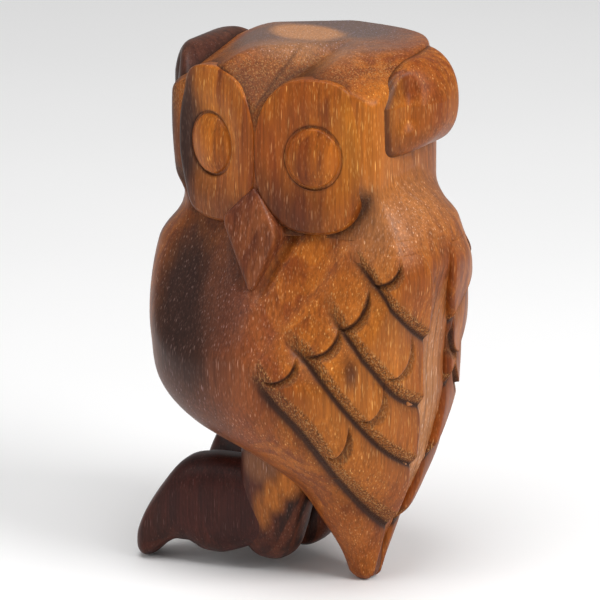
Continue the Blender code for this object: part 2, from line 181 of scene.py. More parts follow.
# Length of the rays that look for the skin, how often they are halved, and the rows of an eased table.
WALK_REACH = 60.0
HALVINGS = 24
TABLE_ROWS = 600

# How far a covering piece stands out over the skin that it shares with its neighbour.
OVERLAP = 0.03


def torso_origin():
    """Where the carver's own axis stands in the frame: the middle of the torso's width, and
    CHEST_REACH behind its foremost point."""
    low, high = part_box("torso")
    return np.array([(low[0] + high[0]) / 2, low[1] + CHEST_REACH * MM, 0.0])


ORIGIN = torso_origin()


def to_frame(points):
    """Millimetres in the carver's directions to metres in the frame."""
    return points * MM + ORIGIN


def from_head(p, q, z):
    """Head directions to body directions: a turn by HEAD_TURN about the vertical."""
    c, s = math.cos(HEAD_TURN), math.sin(HEAD_TURN)
    return np.stack(np.broadcast_arrays(p * c + q * s, p * s - q * c, z), axis=-1)


def to_head(x, y):
    """Body directions to head directions, the reverse turn."""
    c, s = math.cos(HEAD_TURN), math.sin(HEAD_TURN)
    return x * c + y * s, x * s - y * c


def ease_rows(rows, places):
    """Rows read at the given places: a cubic between each two rows, whose slopes never exceed three
    times the gentler of the two neighbouring slopes, so that it doesn't overshoot."""
    rows = np.asarray(rows, float)
    x, y = rows[:, 0], rows[:, 1:]
    step = np.diff(x)[:, None]
    slope = np.diff(y, axis=0) / step
    tangent = np.vstack([slope[:1], (slope[:-1] + slope[1:]) / 2, slope[-1:]])
    tangent[1:-1][slope[:-1] * slope[1:] <= 0] = 0
    limit = 3 * np.minimum(np.abs(slope[:-1]), np.abs(slope[1:]))
    tangent[1:-1] = np.clip(tangent[1:-1], -limit, limit)
    places = np.clip(places, x[0], x[-1])
    i = np.clip(np.searchsorted(x, places) - 1, 0, len(x) - 2)
    h = step[i]
    t = (places - x[i])[..., None] / h
    return (
        (1 + 2 * t) * (1 - t) ** 2 * y[i]
        + t * (1 - t) ** 2 * h * tangent[i]
        + t * t * (3 - 2 * t) * y[i + 1]
        + t * t * (t - 1) * h * tangent[i + 1]
    )


def fine_table(rows):
    """Rows eased once at many places, so that reading them later takes only straight lines."""
    places = np.linspace(rows[0][0], rows[-1][0], TABLE_ROWS)
    return np.column_stack([places, ease_rows(rows, places)])


BODY = fine_table(BODY_ROWS)
HEAD = fine_table(HEAD_ROWS)


def smooth(value, low, high):
    """0 at low, 1 at high, 3t^2 - 2t^3 between them and level beyond."""
    t = np.clip((value - low) / (high - low), 0, 1)
    return t * t * (3 - 2 * t)


def soft_max(a, b, blend):
    """The larger of two, with the corner between them rounded over the given blend."""
    h = np.clip(0.5 + 0.5 * (a - b) / blend, 0, 1)
    return b + (a - b) * h + blend * h * (1 - h)


def soft_min(a, b, blend):
    """The smaller of two, rounded in the same way."""
    return -soft_max(-a, -b, blend)


def section_distance(x, y, centre_x, centre_y, half_x, half_y, squareness):
    """How far outside a superellipse, roughly: ((|x/a|^n + |y/b|^n)^(1/n) - 1) times its smaller half."""
    size = np.abs((x - centre_x) / half_x) ** squareness + np.abs((y - centre_y) / half_y) ** squareness
    return (size ** (1 / squareness) - 1) * np.minimum(half_x, half_y)


def body_section(z):
    """Centre, half width, half depth and squareness of the body at each height. Over TIP_HEIGHT the
    halves grow as a quarter circle, sqrt(1 - (1 - z/h)^2), so the lower tip is round."""
    half_x, front, back, squareness = (np.interp(z, BODY[:, 0], BODY[:, k]) for k in (1, 2, 3, 4))
    left = 1 - np.clip(z, LEAST_HEIGHT, TIP_HEIGHT) / TIP_HEIGHT
    tip = np.sqrt(np.clip(1 - left**2, 0, 1))
    return (front + back) / 2, half_x * tip, (back - front) / 2 * tip, squareness


def face_place(p, q):
    """Across one facial disc from the nose line, and out of its plane."""
    across = np.abs(p) * math.cos(FACE_TILT) - (q - NOSE_REACH) * math.sin(FACE_TILT)
    out = np.abs(p) * math.sin(FACE_TILT) + (q - NOSE_REACH) * math.cos(FACE_TILT)
    return across, out


def beyond_disc(across, z):
    """Distance outside the outline of a facial disc."""
    return section_distance(
        across, z, DISC_HALF_WIDTH, FACE_HEIGHT, DISC_HALF_WIDTH, DISC_HALF_HEIGHT, DISC_SQUARENESS
    )


def plane(p, q, z, through, normal):
    """Signed distance from a plane through a point."""
    length = math.sqrt(sum(n * n for n in normal))
    return sum(n * (v - t) for n, v, t in zip(normal, (p, q, z), through)) / length


def head_field(p, q, z):
    """The head: its level sections, cut by the two planes of the face, by the flat crown, by the
    planes that fall from it, and by the valley between the brows."""
    right, left, back, front, squareness = (np.interp(z, HEAD[:, 0], HEAD[:, k]) for k in range(1, 6))
    middle_p, half_p = (left - right) / 2, (left + right) / 2
    middle_q, half_q = (front - back) / 2, (front + back) / 2
    field = section_distance(p, q, middle_p, middle_q, half_p, half_q, squareness)
    field = np.maximum(field, HEAD_FLOOR - z)
    across, out = face_place(p, q)
    temple = smooth(across, 25, 30) * smooth(z, 106, 112) * smooth(146 - z, 0, 8)
    behind = 0.35 - 0.30 * temple
    field = soft_max(field, out + behind, 3.2)
    field = soft_max(field, z - HEAD_TOP, 1.2)
    for through, normal, rounding in HEAD_PLANES:
        field = soft_max(field, plane(p, q, z, through, normal), rounding)
    near_brow = plane(p, q, z, BROW_MEETING, NEAR_BROW_NORMAL)
    far_brow = plane(p, q, z, BROW_MEETING, FAR_BROW_NORMAL)
    return soft_max(field, soft_min(near_brow, far_brow, 1.0), 1.6)


def owl_field(points):
    """Body and head as one block, with a soft neck and an undercut below the facial discs."""
    x, y, z = points[..., 0], points[..., 1], points[..., 2]
    centre_y, half_x, half_y, squareness = body_section(z)
    body = section_distance(x, y, 0, centre_y, half_x, half_y, squareness)
    body = soft_max(body, z - BODY_LID, 2.0)
    p, q = to_head(x, y)
    block = soft_min(body, head_field(p, q, z), NECK_ROUNDING)
    across, out = face_place(p, q)
    set_back = -0.4 + 3.4 * smooth(FACE_HEIGHT - z, 6, 15)
    undercut = (out + set_back - 0.55 * np.maximum(beyond_disc(across, z), 0)) / 1.2
    return soft_max(block, np.where(q > 0, undercut, -9.0), 1.5)


def walk_out(field, centre, direction, reach):
    """The point on each ray where the field turns from inside to outside, by halving the reach."""
    near = np.zeros(direction.shape[:-1])
    step = reach
    for _ in range(HALVINGS):
        step = step / 2
        trial = near + step
        inside = field(centre + trial[..., None] * direction) < 0
        near = np.where(inside, trial, near)
    return centre + near[..., None] * direction


def body_middle(z):
    """Points on the body's middle line."""
    return np.stack(np.broadcast_arrays(0.0, body_section(z)[0], z), axis=-1)


def grid_normals(points, inner, wrap):
    """Unit normals of a grid: the cross product of its two slopes, turned away from the inner points."""
    down = np.gradient(points, axis=0)
    if wrap:
        along = np.roll(points, -1, axis=1) - np.roll(points, 1, axis=1)
    else:
        along = np.gradient(points, axis=1)
    normal = np.cross(along, down)
    normal /= np.linalg.norm(normal, axis=-1, keepdims=True) + 1e-12
    side = np.sign((normal * (points - inner)).sum(axis=-1, keepdims=True))
    return normal * np.where(side == 0, 1, side)


def block_grid(angle, z, wrap=False):
    """Skin of the block at each angle round the body's middle and each height, that middle, and the
    skin's outward normals."""
    angle, level = np.broadcast_arrays(angle, z)
    direction = np.stack([np.cos(angle), np.sin(angle), np.zeros_like(level)], axis=-1)
    skin_points = walk_out(owl_field, body_middle(level), direction, WALK_REACH)
    centre = body_middle(z)
    return skin_points, centre, grid_normals(skin_points, centre, wrap)


def across_wing(points):
    """Distance towards the tail as seen from behind the shoulder, alike on both sides."""
    return math.cos(VIEW_TURN) * np.abs(points[..., 0]) + math.sin(VIEW_TURN) * points[..., 1]


def line_distance(across, z, line):
    """Signed distance above a line given as height over across."""
    line = np.asarray(line)
    height = ease_rows(line, across.ravel())[:, 0].reshape(across.shape)
    ahead = ease_rows(line, across.ravel() + 0.5)[:, 0].reshape(across.shape)
    behind = ease_rows(line, across.ravel() - 0.5)[:, 0].reshape(across.shape)
    slope = np.clip(ahead - behind, -3, 3)
    return (z - height) / np.sqrt(1 + slope**2)


def shaping(points):
    """Soft carving that the torso and the wings share: two valleys over each shoulder, each with a
    rounded section exp(-(d/width)^2)."""
    across, z = across_wing(points), points[..., 2]
    depth = np.zeros_like(z)
    for line, (deep, width) in zip(VALLEYS, VALLEY_CUTS):
        d = line_distance(across, z, line)
        first, last = line[0][0], line[-1][0]
        reach = smooth(across, first - 2, first + 8) * smooth(-across, -last, -last + 6)
        depth -= deep * np.exp(-((d / width) ** 2)) * reach
    return depth * smooth(z, 66, 72) * smooth(104 - z, 0, 4)


def groove_cut(across, z, line, deep, face):
    """Height, tooled share and shade of one groove. It is a step: the feathers above it end in a
    tooled face that falls to the groove's foot, half smoothly and half in a straight line, behind a
    low lip, and the feathers below rise from that foot as 1 - exp(-d/GROOVE_RISE)."""
    d = line_distance(across, z, line)
    start = smooth(across, line[0][0] + 0.5, line[0][0] + 8)
    upper = 0.5 * smooth(d, 0, face) + 0.5 * np.clip(d / face, 0, 1)
    below = -deep * np.exp(d / GROOVE_RISE) * (d < 0)
    above = (-deep * (1 - upper) + GROOVE_LIP * upper * np.exp(-d / 3.0)) * (d >= 0)
    on_face = smooth(d, -0.25, 0.15) * (1 - smooth(d, face, face + 0.8))
    shade = np.where(d < 0, np.exp(d / 2.6), np.exp(-d / (0.45 * face)))
    foot = 0.95 * np.exp(-(((d - 0.15) / (0.22 * face)) ** 2)) + 0.55 * shade
    return (below + above) * start, on_face * start, np.clip(foot, 0, 1) * start


def scallop_cut(across, z, low, end, depth_scale):
    """Height, tooled share and shade of one feather end: a quarter ellipse from its lowest point to
    its upper end, with a gouge cut outside it, deepest at the arc and rising in a straight line, and
    a low lip inside it. A low feather has a wider gouge."""
    half_across, half_z = end[0] - low[0], end[1] - low[1]
    u, v = (across - low[0]) / half_across, (z - end[1]) / half_z
    ring = np.sqrt(u * u + v * v) + 1e-9
    d = (ring - 1) * (half_across * np.abs(u) + half_z * np.abs(v)) / ring
    turn = np.degrees(np.arctan2(-v, u))
    reach = smooth(turn, -6, 22) * smooth(112 - turn, 0, 26)
    widest = 4.6 if low[1] < 60 else 3.2
    width = 0.6 + widest * smooth(turn, 0, 40) * smooth(98 - turn, 0, 50)
    gouge = np.clip(1 - d / width, 0, 1) * smooth(d, -0.12, 0.14)
    lip = 0.28 * np.exp(-((d + 0.2) ** 2) / 6.0) * (d < 0.14)
    shade = np.clip(0.62 * np.sqrt(gouge) + 0.6 * np.exp(-((d / 0.3) ** 2)), 0, 1)
    height = -SCALLOP_DEPTH * depth_scale * gouge + lip
    return height * reach, 0.6 * smooth(gouge, 0, 0.25) * reach, shade * reach


def feathers(points, depth_scale):
    """Relief of the wing, its roughly tooled faces and the shade painted in its grooves and round its
    feather ends: the heights of all cuts added, and the greatest of their tooled shares and painted shades."""
    across, z = across_wing(points), points[..., 2]
    cuts = [
        groove_cut(across, z, line, deep * depth_scale, face)
        for line, (deep, face) in zip(GROOVES, GROOVE_CUTS)
    ]
    cuts += [scallop_cut(across, z, low, end, depth_scale) for low, end in SCALLOPS]
    heights, rough, hollow = zip(*cuts)
    return sum(heights), np.maximum.reduce(rough), np.maximum.reduce(hollow)


def new_mesh(name, vertices, faces, attributes, material):
    """Mesh object in the frame, smooth, with its point attributes and nothing below the floor. Its
    faces are turned outwards: the signed volume, a sixth of the sum of a . (b x c) over its triangles,
    has to be positive. Turning a quad round moves its doubled corner from its end to its start."""
    vertices = to_frame(vertices)
    vertices[:, 2] = np.maximum(vertices[:, 2], 0)
    quads = np.asarray(faces)
    around = vertices - vertices.mean(axis=0)
    volume = 0.0
    for corners in (quads[:, :3], quads[:, [0, 2, 3]]):
        a, b, c = (around[corners[:, k]] for k in range(3))
        volume += (a * np.cross(b, c)).sum()
    if volume < 0:
        quads = quads[:, ::-1]
    doubled_last = quads[:, 2] == quads[:, 3]
    doubled_first = quads[:, 0] == quads[:, 1]
    corners_kept = np.where(doubled_last | doubled_first, 3, 4)
    keep = np.ones_like(quads, bool)
    keep[doubled_last, 3] = False
    keep[doubled_first, 0] = False
    mesh = bpy.data.meshes.new(name)
    mesh.vertices.add(len(vertices))
    mesh.vertices.foreach_set("co", vertices.ravel())
    mesh.loops.add(int(corners_kept.sum()))
    mesh.loops.foreach_set("vertex_index", quads[keep])
    mesh.polygons.add(len(quads))
    mesh.polygons.foreach_set("loop_start", np.concatenate([[0], np.cumsum(corners_kept)[:-1]]))
    mesh.update(calc_edges=True)
    if mesh.validate():
        raise RuntimeError(f"{name} has faces that don't close")
    mesh.shade_smooth()
    for title, values in attributes.items():
        layer = mesh.attributes.new(title, "FLOAT", "POINT")
        layer.data.foreach_set("value", np.asarray(values, np.float32))
    mesh.materials.append(material)
    piece = bpy.data.objects.new(name, mesh)
    bpy.context.scene.collection.objects.link(piece)
    return piece


def side_name(side, what):
    """Name of a paired piece: side is 1 on the owl's left and -1 on its right."""
    return f"left_{what}" if side > 0 else f"right_{what}"


def stand_for(piece, node):
    """Puts a piece in the place of the CAD node whose solid it shows."""
    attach(piece, "root")
    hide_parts(node)


def ring_faces(rings, count, offset=0):
    """Quads between rings of equal length that run all the way round."""
    first = np.arange(count)
    row = np.stack([first, (first + 1) % count, (first + 1) % count + count, first + count], axis=-1)
    return (row[None] + (np.arange(rings - 1) * count)[:, None, None]).reshape(-1, 4) + offset


def fan_faces(ring, pole):
    """Triangles, written as quads with a doubled end, from a closed ring to one point."""
    after = np.roll(ring, -1)
    poles = np.full_like(ring, pole)
    return np.stack([ring, after, poles, poles], axis=-1)


def skin(name, rings, material, **attributes):
    """Closed piece through rings of points, with a fan to the middle of the first and last ring."""
    levels, count, _ = rings.shape
    vertices = np.vstack([rings.reshape(-1, 3), rings[0].mean(axis=0), rings[-1].mean(axis=0)])
    last = (levels - 1) * count
    faces = np.vstack(
        [
            ring_faces(levels, count),
            fan_faces(np.arange(count), levels * count)[:, [1, 0, 2, 3]],
            fan_faces(np.arange(last, last + count), levels * count + 1),
        ]
    )
    padded = {title: np.append(values.ravel(), [0, 0]) for title, values in attributes.items()}
    return new_mesh(name, vertices, faces, padded, material)


def read_grid(grid, u, v):
    """Grid read between its points, in a straight line each way; u runs along columns and v along rows."""
    rows, columns = grid.shape[:2]
    x, y = np.clip(u, 0, 1) * (columns - 1), np.clip(v, 0, 1) * (rows - 1)
    i, j = np.minimum(y.astype(int), rows - 2), np.minimum(x.astype(int), columns - 2)
    fy, fx = (y - i)[..., None], (x - j)[..., None]
    top = grid[i, j] * (1 - fx) + grid[i, j + 1] * fx
    low = grid[i + 1, j] * (1 - fx) + grid[i + 1, j + 1] * fx
    return top * (1 - fy) + low * fy


def shell(name, outer, base, normal, thickness, material, loops=9, **attributes):
    """Closed shell: the outer grid, a wall at its border, and an inner sheet of loops that shrink
    towards the middle of the grid on the base surface, sunk along its normal by the thickness."""
    rows, columns, _ = outer.shape
    index = np.arange(rows * columns).reshape(rows, columns)
    border = np.concatenate([index[0, :-1], index[:-1, -1], index[-1, :0:-1], index[:0:-1, 0]])
    u, v = (border % columns) / (columns - 1), (border // columns) / (rows - 1)
    shrink = np.linspace(1, 0.04, loops)[:, None]
    inner_u, inner_v = 0.5 + (u - 0.5) * shrink, 0.5 + (v - 0.5) * shrink
    sunk = base - normal * thickness
    inner = read_grid(sunk, inner_u, inner_v)
    vertices = np.vstack([outer.reshape(-1, 3), inner.reshape(-1, 3), inner[-1].mean(axis=0)])
    count = len(border)
    start = rows * columns
    sheet = np.stack([index[:-1, :-1], index[:-1, 1:], index[1:, 1:], index[1:, :-1]], axis=-1).reshape(-1, 4)
    first = np.arange(count) + start
    wall = np.stack([np.roll(border, -1), border, first, np.roll(first, -1)], axis=-1)
    inside = ring_faces(loops, count, start)[:, [1, 0, 3, 2]]
    last = np.arange(count) + start + (loops - 1) * count
    faces = np.vstack([sheet, wall, inside, fan_faces(last, len(vertices) - 1)[:, [1, 0, 2, 3]]])
    unmarked = np.zeros(len(vertices) - start)
    padded = {title: np.append(values.ravel(), unmarked) for title, values in attributes.items()}
    return new_mesh(name, vertices, faces, padded, material)


# ---------------------------------------------------------------- materials

# Middle of the growth rings, in metres, colours of the tool marks, and the near-black colour of the shade
# painted into grooves, gouges, sockets and joins.
PITH = (-0.075, -0.03, 0.0)
TOOLED_COLOUR = (0.20, 0.07, 0.018)
PIT_COLOUR = (0.035, 0.012, 0.006)
FLECK_COLOUR = (0.62, 0.33, 0.12)
# Painted shade: near-black laid in recesses in place of the shade that falls there.
PAINTED_SHADE_COLOUR = (0.03, 0.010, 0.005)

# Roughness before grain and clouds add to it, gloss, and depth of the bump in metres.
OIL_ROUGHNESS = 0.26
WOOD_SPECULAR = 0.17
BUMP_DEPTH = 0.00012


def add_node(tree, kind, **settings):
    """New node. A setting that starts with in_ goes to the input of that name or number: a socket is
    linked to it and a plain value is set on it. Other settings are the node's own."""
    node = tree.nodes.new(kind)
    for key, value in settings.items():
        if key.startswith("in_"):
            name = key[3:]
            socket = node.inputs[int(name)] if name.isdigit() else node.inputs[name.replace("_", " ")]
            if isinstance(value, bpy.types.NodeSocket):
                tree.links.new(value, socket)
            else:
                socket.default_value = value
        else:
            setattr(node, key, value)
    return node


def calc(tree, operation, a, b=0.0, c=0.0):
    """Result of one sum on numbers."""
    return add_node(tree, "ShaderNodeMath", operation=operation, in_0=a, in_1=b, in_2=c).outputs[0]


def times(tree, a, b):
    """Product of two numbers."""
    return calc(tree, "MULTIPLY", a, b)


def vector_calc(tree, operation, a, b):
    """Result of one sum on vectors."""
    node = add_node(tree, "ShaderNodeVectorMath", operation=operation, in_0=a, in_1=b)
    return node.outputs["Value"] if operation in ("LENGTH", "DISTANCE") else node.outputs[0]


def along_grain(tree, vector, share):
    """The vector with its height cut to a share, which draws a pattern out along the trunk."""
    return vector_calc(tree, "MULTIPLY", vector, (1.0, 1.0, share))


def ramp(tree, value, low, high, to_low=0.0, to_high=1.0, easing="SMOOTHSTEP"):
    """Value between low and high carried to the new range, smoothly unless the easing is LINEAR."""
    node = add_node(tree, "ShaderNodeMapRange", interpolation_type=easing, in_0=value, in_1=low, in_2=high)
    node.inputs[3].default_value = to_low
    node.inputs[4].default_value = to_high
    return node.outputs[0]


def blend(tree, amount, a, b):
    """Colour that goes from a to b with the amount."""
    return add_node(tree, "ShaderNodeMix", data_type="RGBA", in_0=amount, in_6=a, in_7=b).outputs[2]


def noise(tree, vector, scale, detail=3.0, roughness=0.5):
    """Soft noise from 0 to 1."""
    node = add_node(
        tree, "ShaderNodeTexNoise", in_Vector=vector, in_Scale=scale, in_Detail=detail, in_Roughness=roughness
    )
    return node.outputs[0]


def new_group(name, inputs, outputs):
    """Shader node group with its named inputs (name, kind, default) and outputs (name, kind)."""
    group = bpy.data.node_groups.new(name, "ShaderNodeTree")
    for title, kind, default in inputs:
        socket = group.interface.new_socket(title, in_out="INPUT", socket_type=kind)
        socket.default_value = default
    for title, kind in outputs:
        group.interface.new_socket(title, in_out="OUTPUT", socket_type=kind)
    return group, group.nodes.new("NodeGroupInput"), group.nodes.new("NodeGroupOutput")


def pores_group():
    """Open pores of the wood: cells drawn out along the trunk, a share of which hold a pore, and lean
    a little with slow noise. Each pore has its own strength, from 0.55 to 1."""
    group, given, out = new_group(
        "Open pores",
        [
            ("Vector", "NodeSocketVector", (0, 0, 0)),
            ("Cells", "NodeSocketFloat", 900.0),
            ("Stretch", "NodeSocketFloat", 10.0),
            ("Width", "NodeSocketFloat", 0.235),
            ("Share", "NodeSocketFloat", 0.75),
        ],
        [("Pores", "NodeSocketFloat")],
    )
    vector, cells_per_metre = given.outputs["Vector"], given.outputs["Cells"]
    long = calc(group, "DIVIDE", cells_per_metre, given.outputs["Stretch"])
    size = add_node(group, "ShaderNodeCombineXYZ", in_X=cells_per_metre, in_Y=cells_per_metre, in_Z=long)
    lean = add_node(group, "ShaderNodeTexNoise", in_Vector=vector, in_Scale=28.0, in_Detail=1.0).outputs[1]
    lean = vector_calc(group, "MULTIPLY", lean, (0.0035, 0.0035, 0.0))
    place = vector_calc(group, "MULTIPLY", vector_calc(group, "ADD", vector, lean), size.outputs[0])
    cells = add_node(group, "ShaderNodeTexVoronoi", in_Vector=place, in_Scale=1.0)
    core = times(group, given.outputs["Width"], 0.45)
    dash = ramp(group, cells.outputs["Distance"], given.outputs["Width"], core)
    picked = add_node(group, "ShaderNodeSeparateColor", in_0=cells.outputs["Color"])
    holds = calc(group, "LESS_THAN", picked.outputs[0], given.outputs["Share"])
    strength = calc(group, "MULTIPLY_ADD", picked.outputs[1], 0.45, 0.55)
    group.links.new(times(group, times(group, dash, holds), strength), out.inputs["Pores"])
    return group


def figure_group():
    """Growth figure: rings round a pith outside the block, each rising slowly and falling fast, bent
    by slow noise and mixed with streaks; fine fibres; and slow clouds."""
    group, given, out = new_group(
        "Growth figure",
        [("Vector", "NodeSocketVector", (0, 0, 0)), ("Ring Width", "NodeSocketFloat", 0.0042)],
        [("Figure", "NodeSocketFloat"), ("Fibre", "NodeSocketFloat"), ("Cloud", "NodeSocketFloat")],
    )
    vector = given.outputs["Vector"]
    bend = noise(group, along_grain(group, vector, 0.14), 38.0, 2.0)
    radius = vector_calc(group, "DISTANCE", along_grain(group, vector, 0.05), PITH)
    turns = calc(group, "DIVIDE", radius, given.outputs["Ring Width"])
    turns = calc(group, "MULTIPLY_ADD", bend, 7.5, turns)
    saw = calc(group, "FRACT", turns)
    ring = times(group, ramp(group, saw, 0.0, 0.75), ramp(group, saw, 0.86, 1.0, 1.0, 0.0))
    streak = noise(group, along_grain(group, vector, 0.06), 240.0, 4.0, 0.62)
    mixed = calc(group, "MULTIPLY_ADD", ring, 0.15, times(group, streak, 0.95))
    fibre = noise(group, along_grain(group, vector, 0.035), 1500.0, 3.0, 0.7)
    cloud = noise(group, along_grain(group, vector, 0.45), 46.0, 3.0, 0.55)
    group.links.new(mixed, out.inputs["Figure"])
    group.links.new(fibre, out.inputs["Fibre"])
    group.links.new(cloud, out.inputs["Cloud"])
    return group


def zone_group():
    """Soft-edged zone: 1 within an ellipsoid and 0 well outside it, its edge bent by noise that runs
    along the grain."""
    group, given, out = new_group(
        "Colour zone",
        [
            ("Vector", "NodeSocketVector", (0, 0, 0)),
            ("Centre", "NodeSocketVector", (0, 0, 0)),
            ("Reach", "NodeSocketVector", (0.03, 0.03, 0.03)),
            ("Softness", "NodeSocketFloat", 0.4),
            ("Waver", "NodeSocketFloat", 0.5),
        ],
        [("Zone", "NodeSocketFloat")],
    )
    vector = given.outputs["Vector"]
    offset = vector_calc(group, "SUBTRACT", vector, given.outputs["Centre"])
    away = vector_calc(group, "DIVIDE", offset, given.outputs["Reach"])
    away = vector_calc(group, "LENGTH", away, (0, 0, 0))
    waver = noise(group, along_grain(group, vector, 0.25), 110.0, 4.0, 0.6)
    waver = times(group, calc(group, "SUBTRACT", waver, 0.5), given.outputs["Waver"])
    away = calc(group, "ADD", away, waver)
    inner = calc(group, "SUBTRACT", 1.0, given.outputs["Softness"])
    outer = calc(group, "ADD", 1.0, given.outputs["Softness"])
    group.links.new(ramp(group, away, outer, inner), out.inputs["Zone"])
    return group


def tooling_group():
    """Roughly tooled wood: torn grain, as light flecks, dark pits and a height for the bump."""
    group, given, out = new_group(
        "Torn grain",
        [("Vector", "NodeSocketVector", (0, 0, 0)), ("Size", "NodeSocketFloat", 2300.0)],
        [("Flecks", "NodeSocketFloat"), ("Pits", "NodeSocketFloat"), ("Height", "NodeSocketFloat")],
    )
    grain, size = along_grain(group, given.outputs["Vector"], 0.55), given.outputs["Size"]
    torn = add_node(group, "ShaderNodeTexNoise", in_Vector=grain, in_Scale=size, in_Detail=2.0).outputs[0]
    pits = add_node(group, "ShaderNodeTexVoronoi", in_Vector=grain, in_Scale=size).outputs["Distance"]
    group.links.new(ramp(group, torn, 0.52, 0.66), out.inputs["Flecks"])
    group.links.new(ramp(group, pits, 0.42, 0.75), out.inputs["Pits"])
    group.links.new(calc(group, "SUBTRACT", torn, times(group, pits, 0.4)), out.inputs["Height"])
    return group


GROUP_MAKERS = {"pores": pores_group, "figure": figure_group, "zone": zone_group, "tooling": tooling_group}
GROUPS = {}


def use_group(tree, name, vector, **values):
    """A shared group placed in a material, made the first time it is asked for."""
    if name not in GROUPS:
        GROUPS[name] = GROUP_MAKERS[name]()
    node = tree.nodes.new("ShaderNodeGroup")
    node.node_tree = GROUPS[name]
    tree.links.new(vector, node.inputs["Vector"])
    for key, value in values.items():
        node.inputs[key.replace("_", " ").title()].default_value = value
    return node


def block_zones():
    """Colour of the block that all its pieces share: the dark heart ahead of the chest and beyond the far
    cheek, the reddish belly, and the pale nape and shoulder, partly waxy wood and partly painted sheen."""
    heart, pale = colours().heart_wood, colours().pale_wood_and_sheen
    return (
        ((0.50, 0.155, 0.018), 0.6, (22, 36, 56), (16, 15, 40), 0.6),
        ((0.25, 0.066, 0.022), 0.8, (34, -2, 66), (13, 17, 34), 0.5),
        ((0.085, 0.022, 0.014), 0.9, (35, -9, 86), (10, 13, 26), 0.6),
        # Pale nape and shoulder: partly waxy wood, partly painted sheen on their upward-facing surfaces.
        (pale, 0.5, (14, 36, 110), (28, 13, 12), 0.7),
        ((0.13, 0.045, 0.022), 0.75, (34, -18, 78), (15, 17, 52), 0.5),
        ((0.16, 0.055, 0.030), 0.6, (14, -48, 92), (36, 16, 50), 0.5),
        (heart, 0.96, (32, -21, 94), (11, 9.5, 40), 0.4),
        (heart, 0.85, (36, -14, 68), (9, 7, 15), 0.6),
        (heart, 0.95, (6, -40, 128), (42, 13, 30), 0.35),
        ((0.13, 0.06, 0.042), 0.75, (16, -30, 50), (30, 28, 14), 0.6),
        (heart, 0.85, (31, 8, 106), (11, 13, 5), 0.7),
    )


def rgba(colour):
    """Colour with full alpha."""
    return (*colour, 1.0)


def ground_colour(tree, figure, light, deep):
    """Deep to light wood along the figure, dulled by slow clouds."""
    colour = blend(tree, ramp(tree, figure.outputs["Figure"], 0.34, 0.74), rgba(deep), rgba(light))
    cloud = times(tree, ramp(tree, figure.outputs["Cloud"], 0.36, 0.68), 0.7)
    dull = [(a * 0.55 + b * 0.25) * share for a, b, share in zip(light, deep, (0.8, 0.6, 0.8))]
    return blend(tree, cloud, colour, rgba(dull))


def zoned(tree, vector, colour, zones):
    """The colour with each zone blended over it in turn."""
    for shade, strength, centre, reach, softness in zones:
        centre = tuple(to_frame(np.array(centre, float)))
        reach = tuple(v * MM for v in reach)
        zone = use_group(tree, "zone", vector, centre=centre, reach=reach, softness=softness)
        colour = blend(tree, times(tree, zone.outputs[0], strength), colour, rgba(shade))
    return colour


def tool_marks(tree, vector, colour, height, rough):
    """Torn grain where the "tooled" attribute says so, with its dark pits and light flecks."""
    face = add_node(tree, "ShaderNodeAttribute", attribute_name="tooled").outputs["Fac"]
    torn = use_group(tree, "tooling", vector)
    pits = times(tree, times(tree, face, torn.outputs["Pits"]), 0.6)
    flecks = times(tree, times(tree, face, torn.outputs["Flecks"]), 0.6)
    colour = blend(tree, times(tree, face, 0.28), colour, rgba(TOOLED_COLOUR))
    colour = blend(tree, pits, colour, rgba(PIT_COLOUR))
    colour = blend(tree, flecks, colour, rgba(FLECK_COLOUR))
    height = calc(tree, "MULTIPLY_ADD", times(tree, torn.outputs["Height"], face), 5.0, height)
    return colour, height, calc(tree, "MULTIPLY_ADD", face, 0.3, rough)


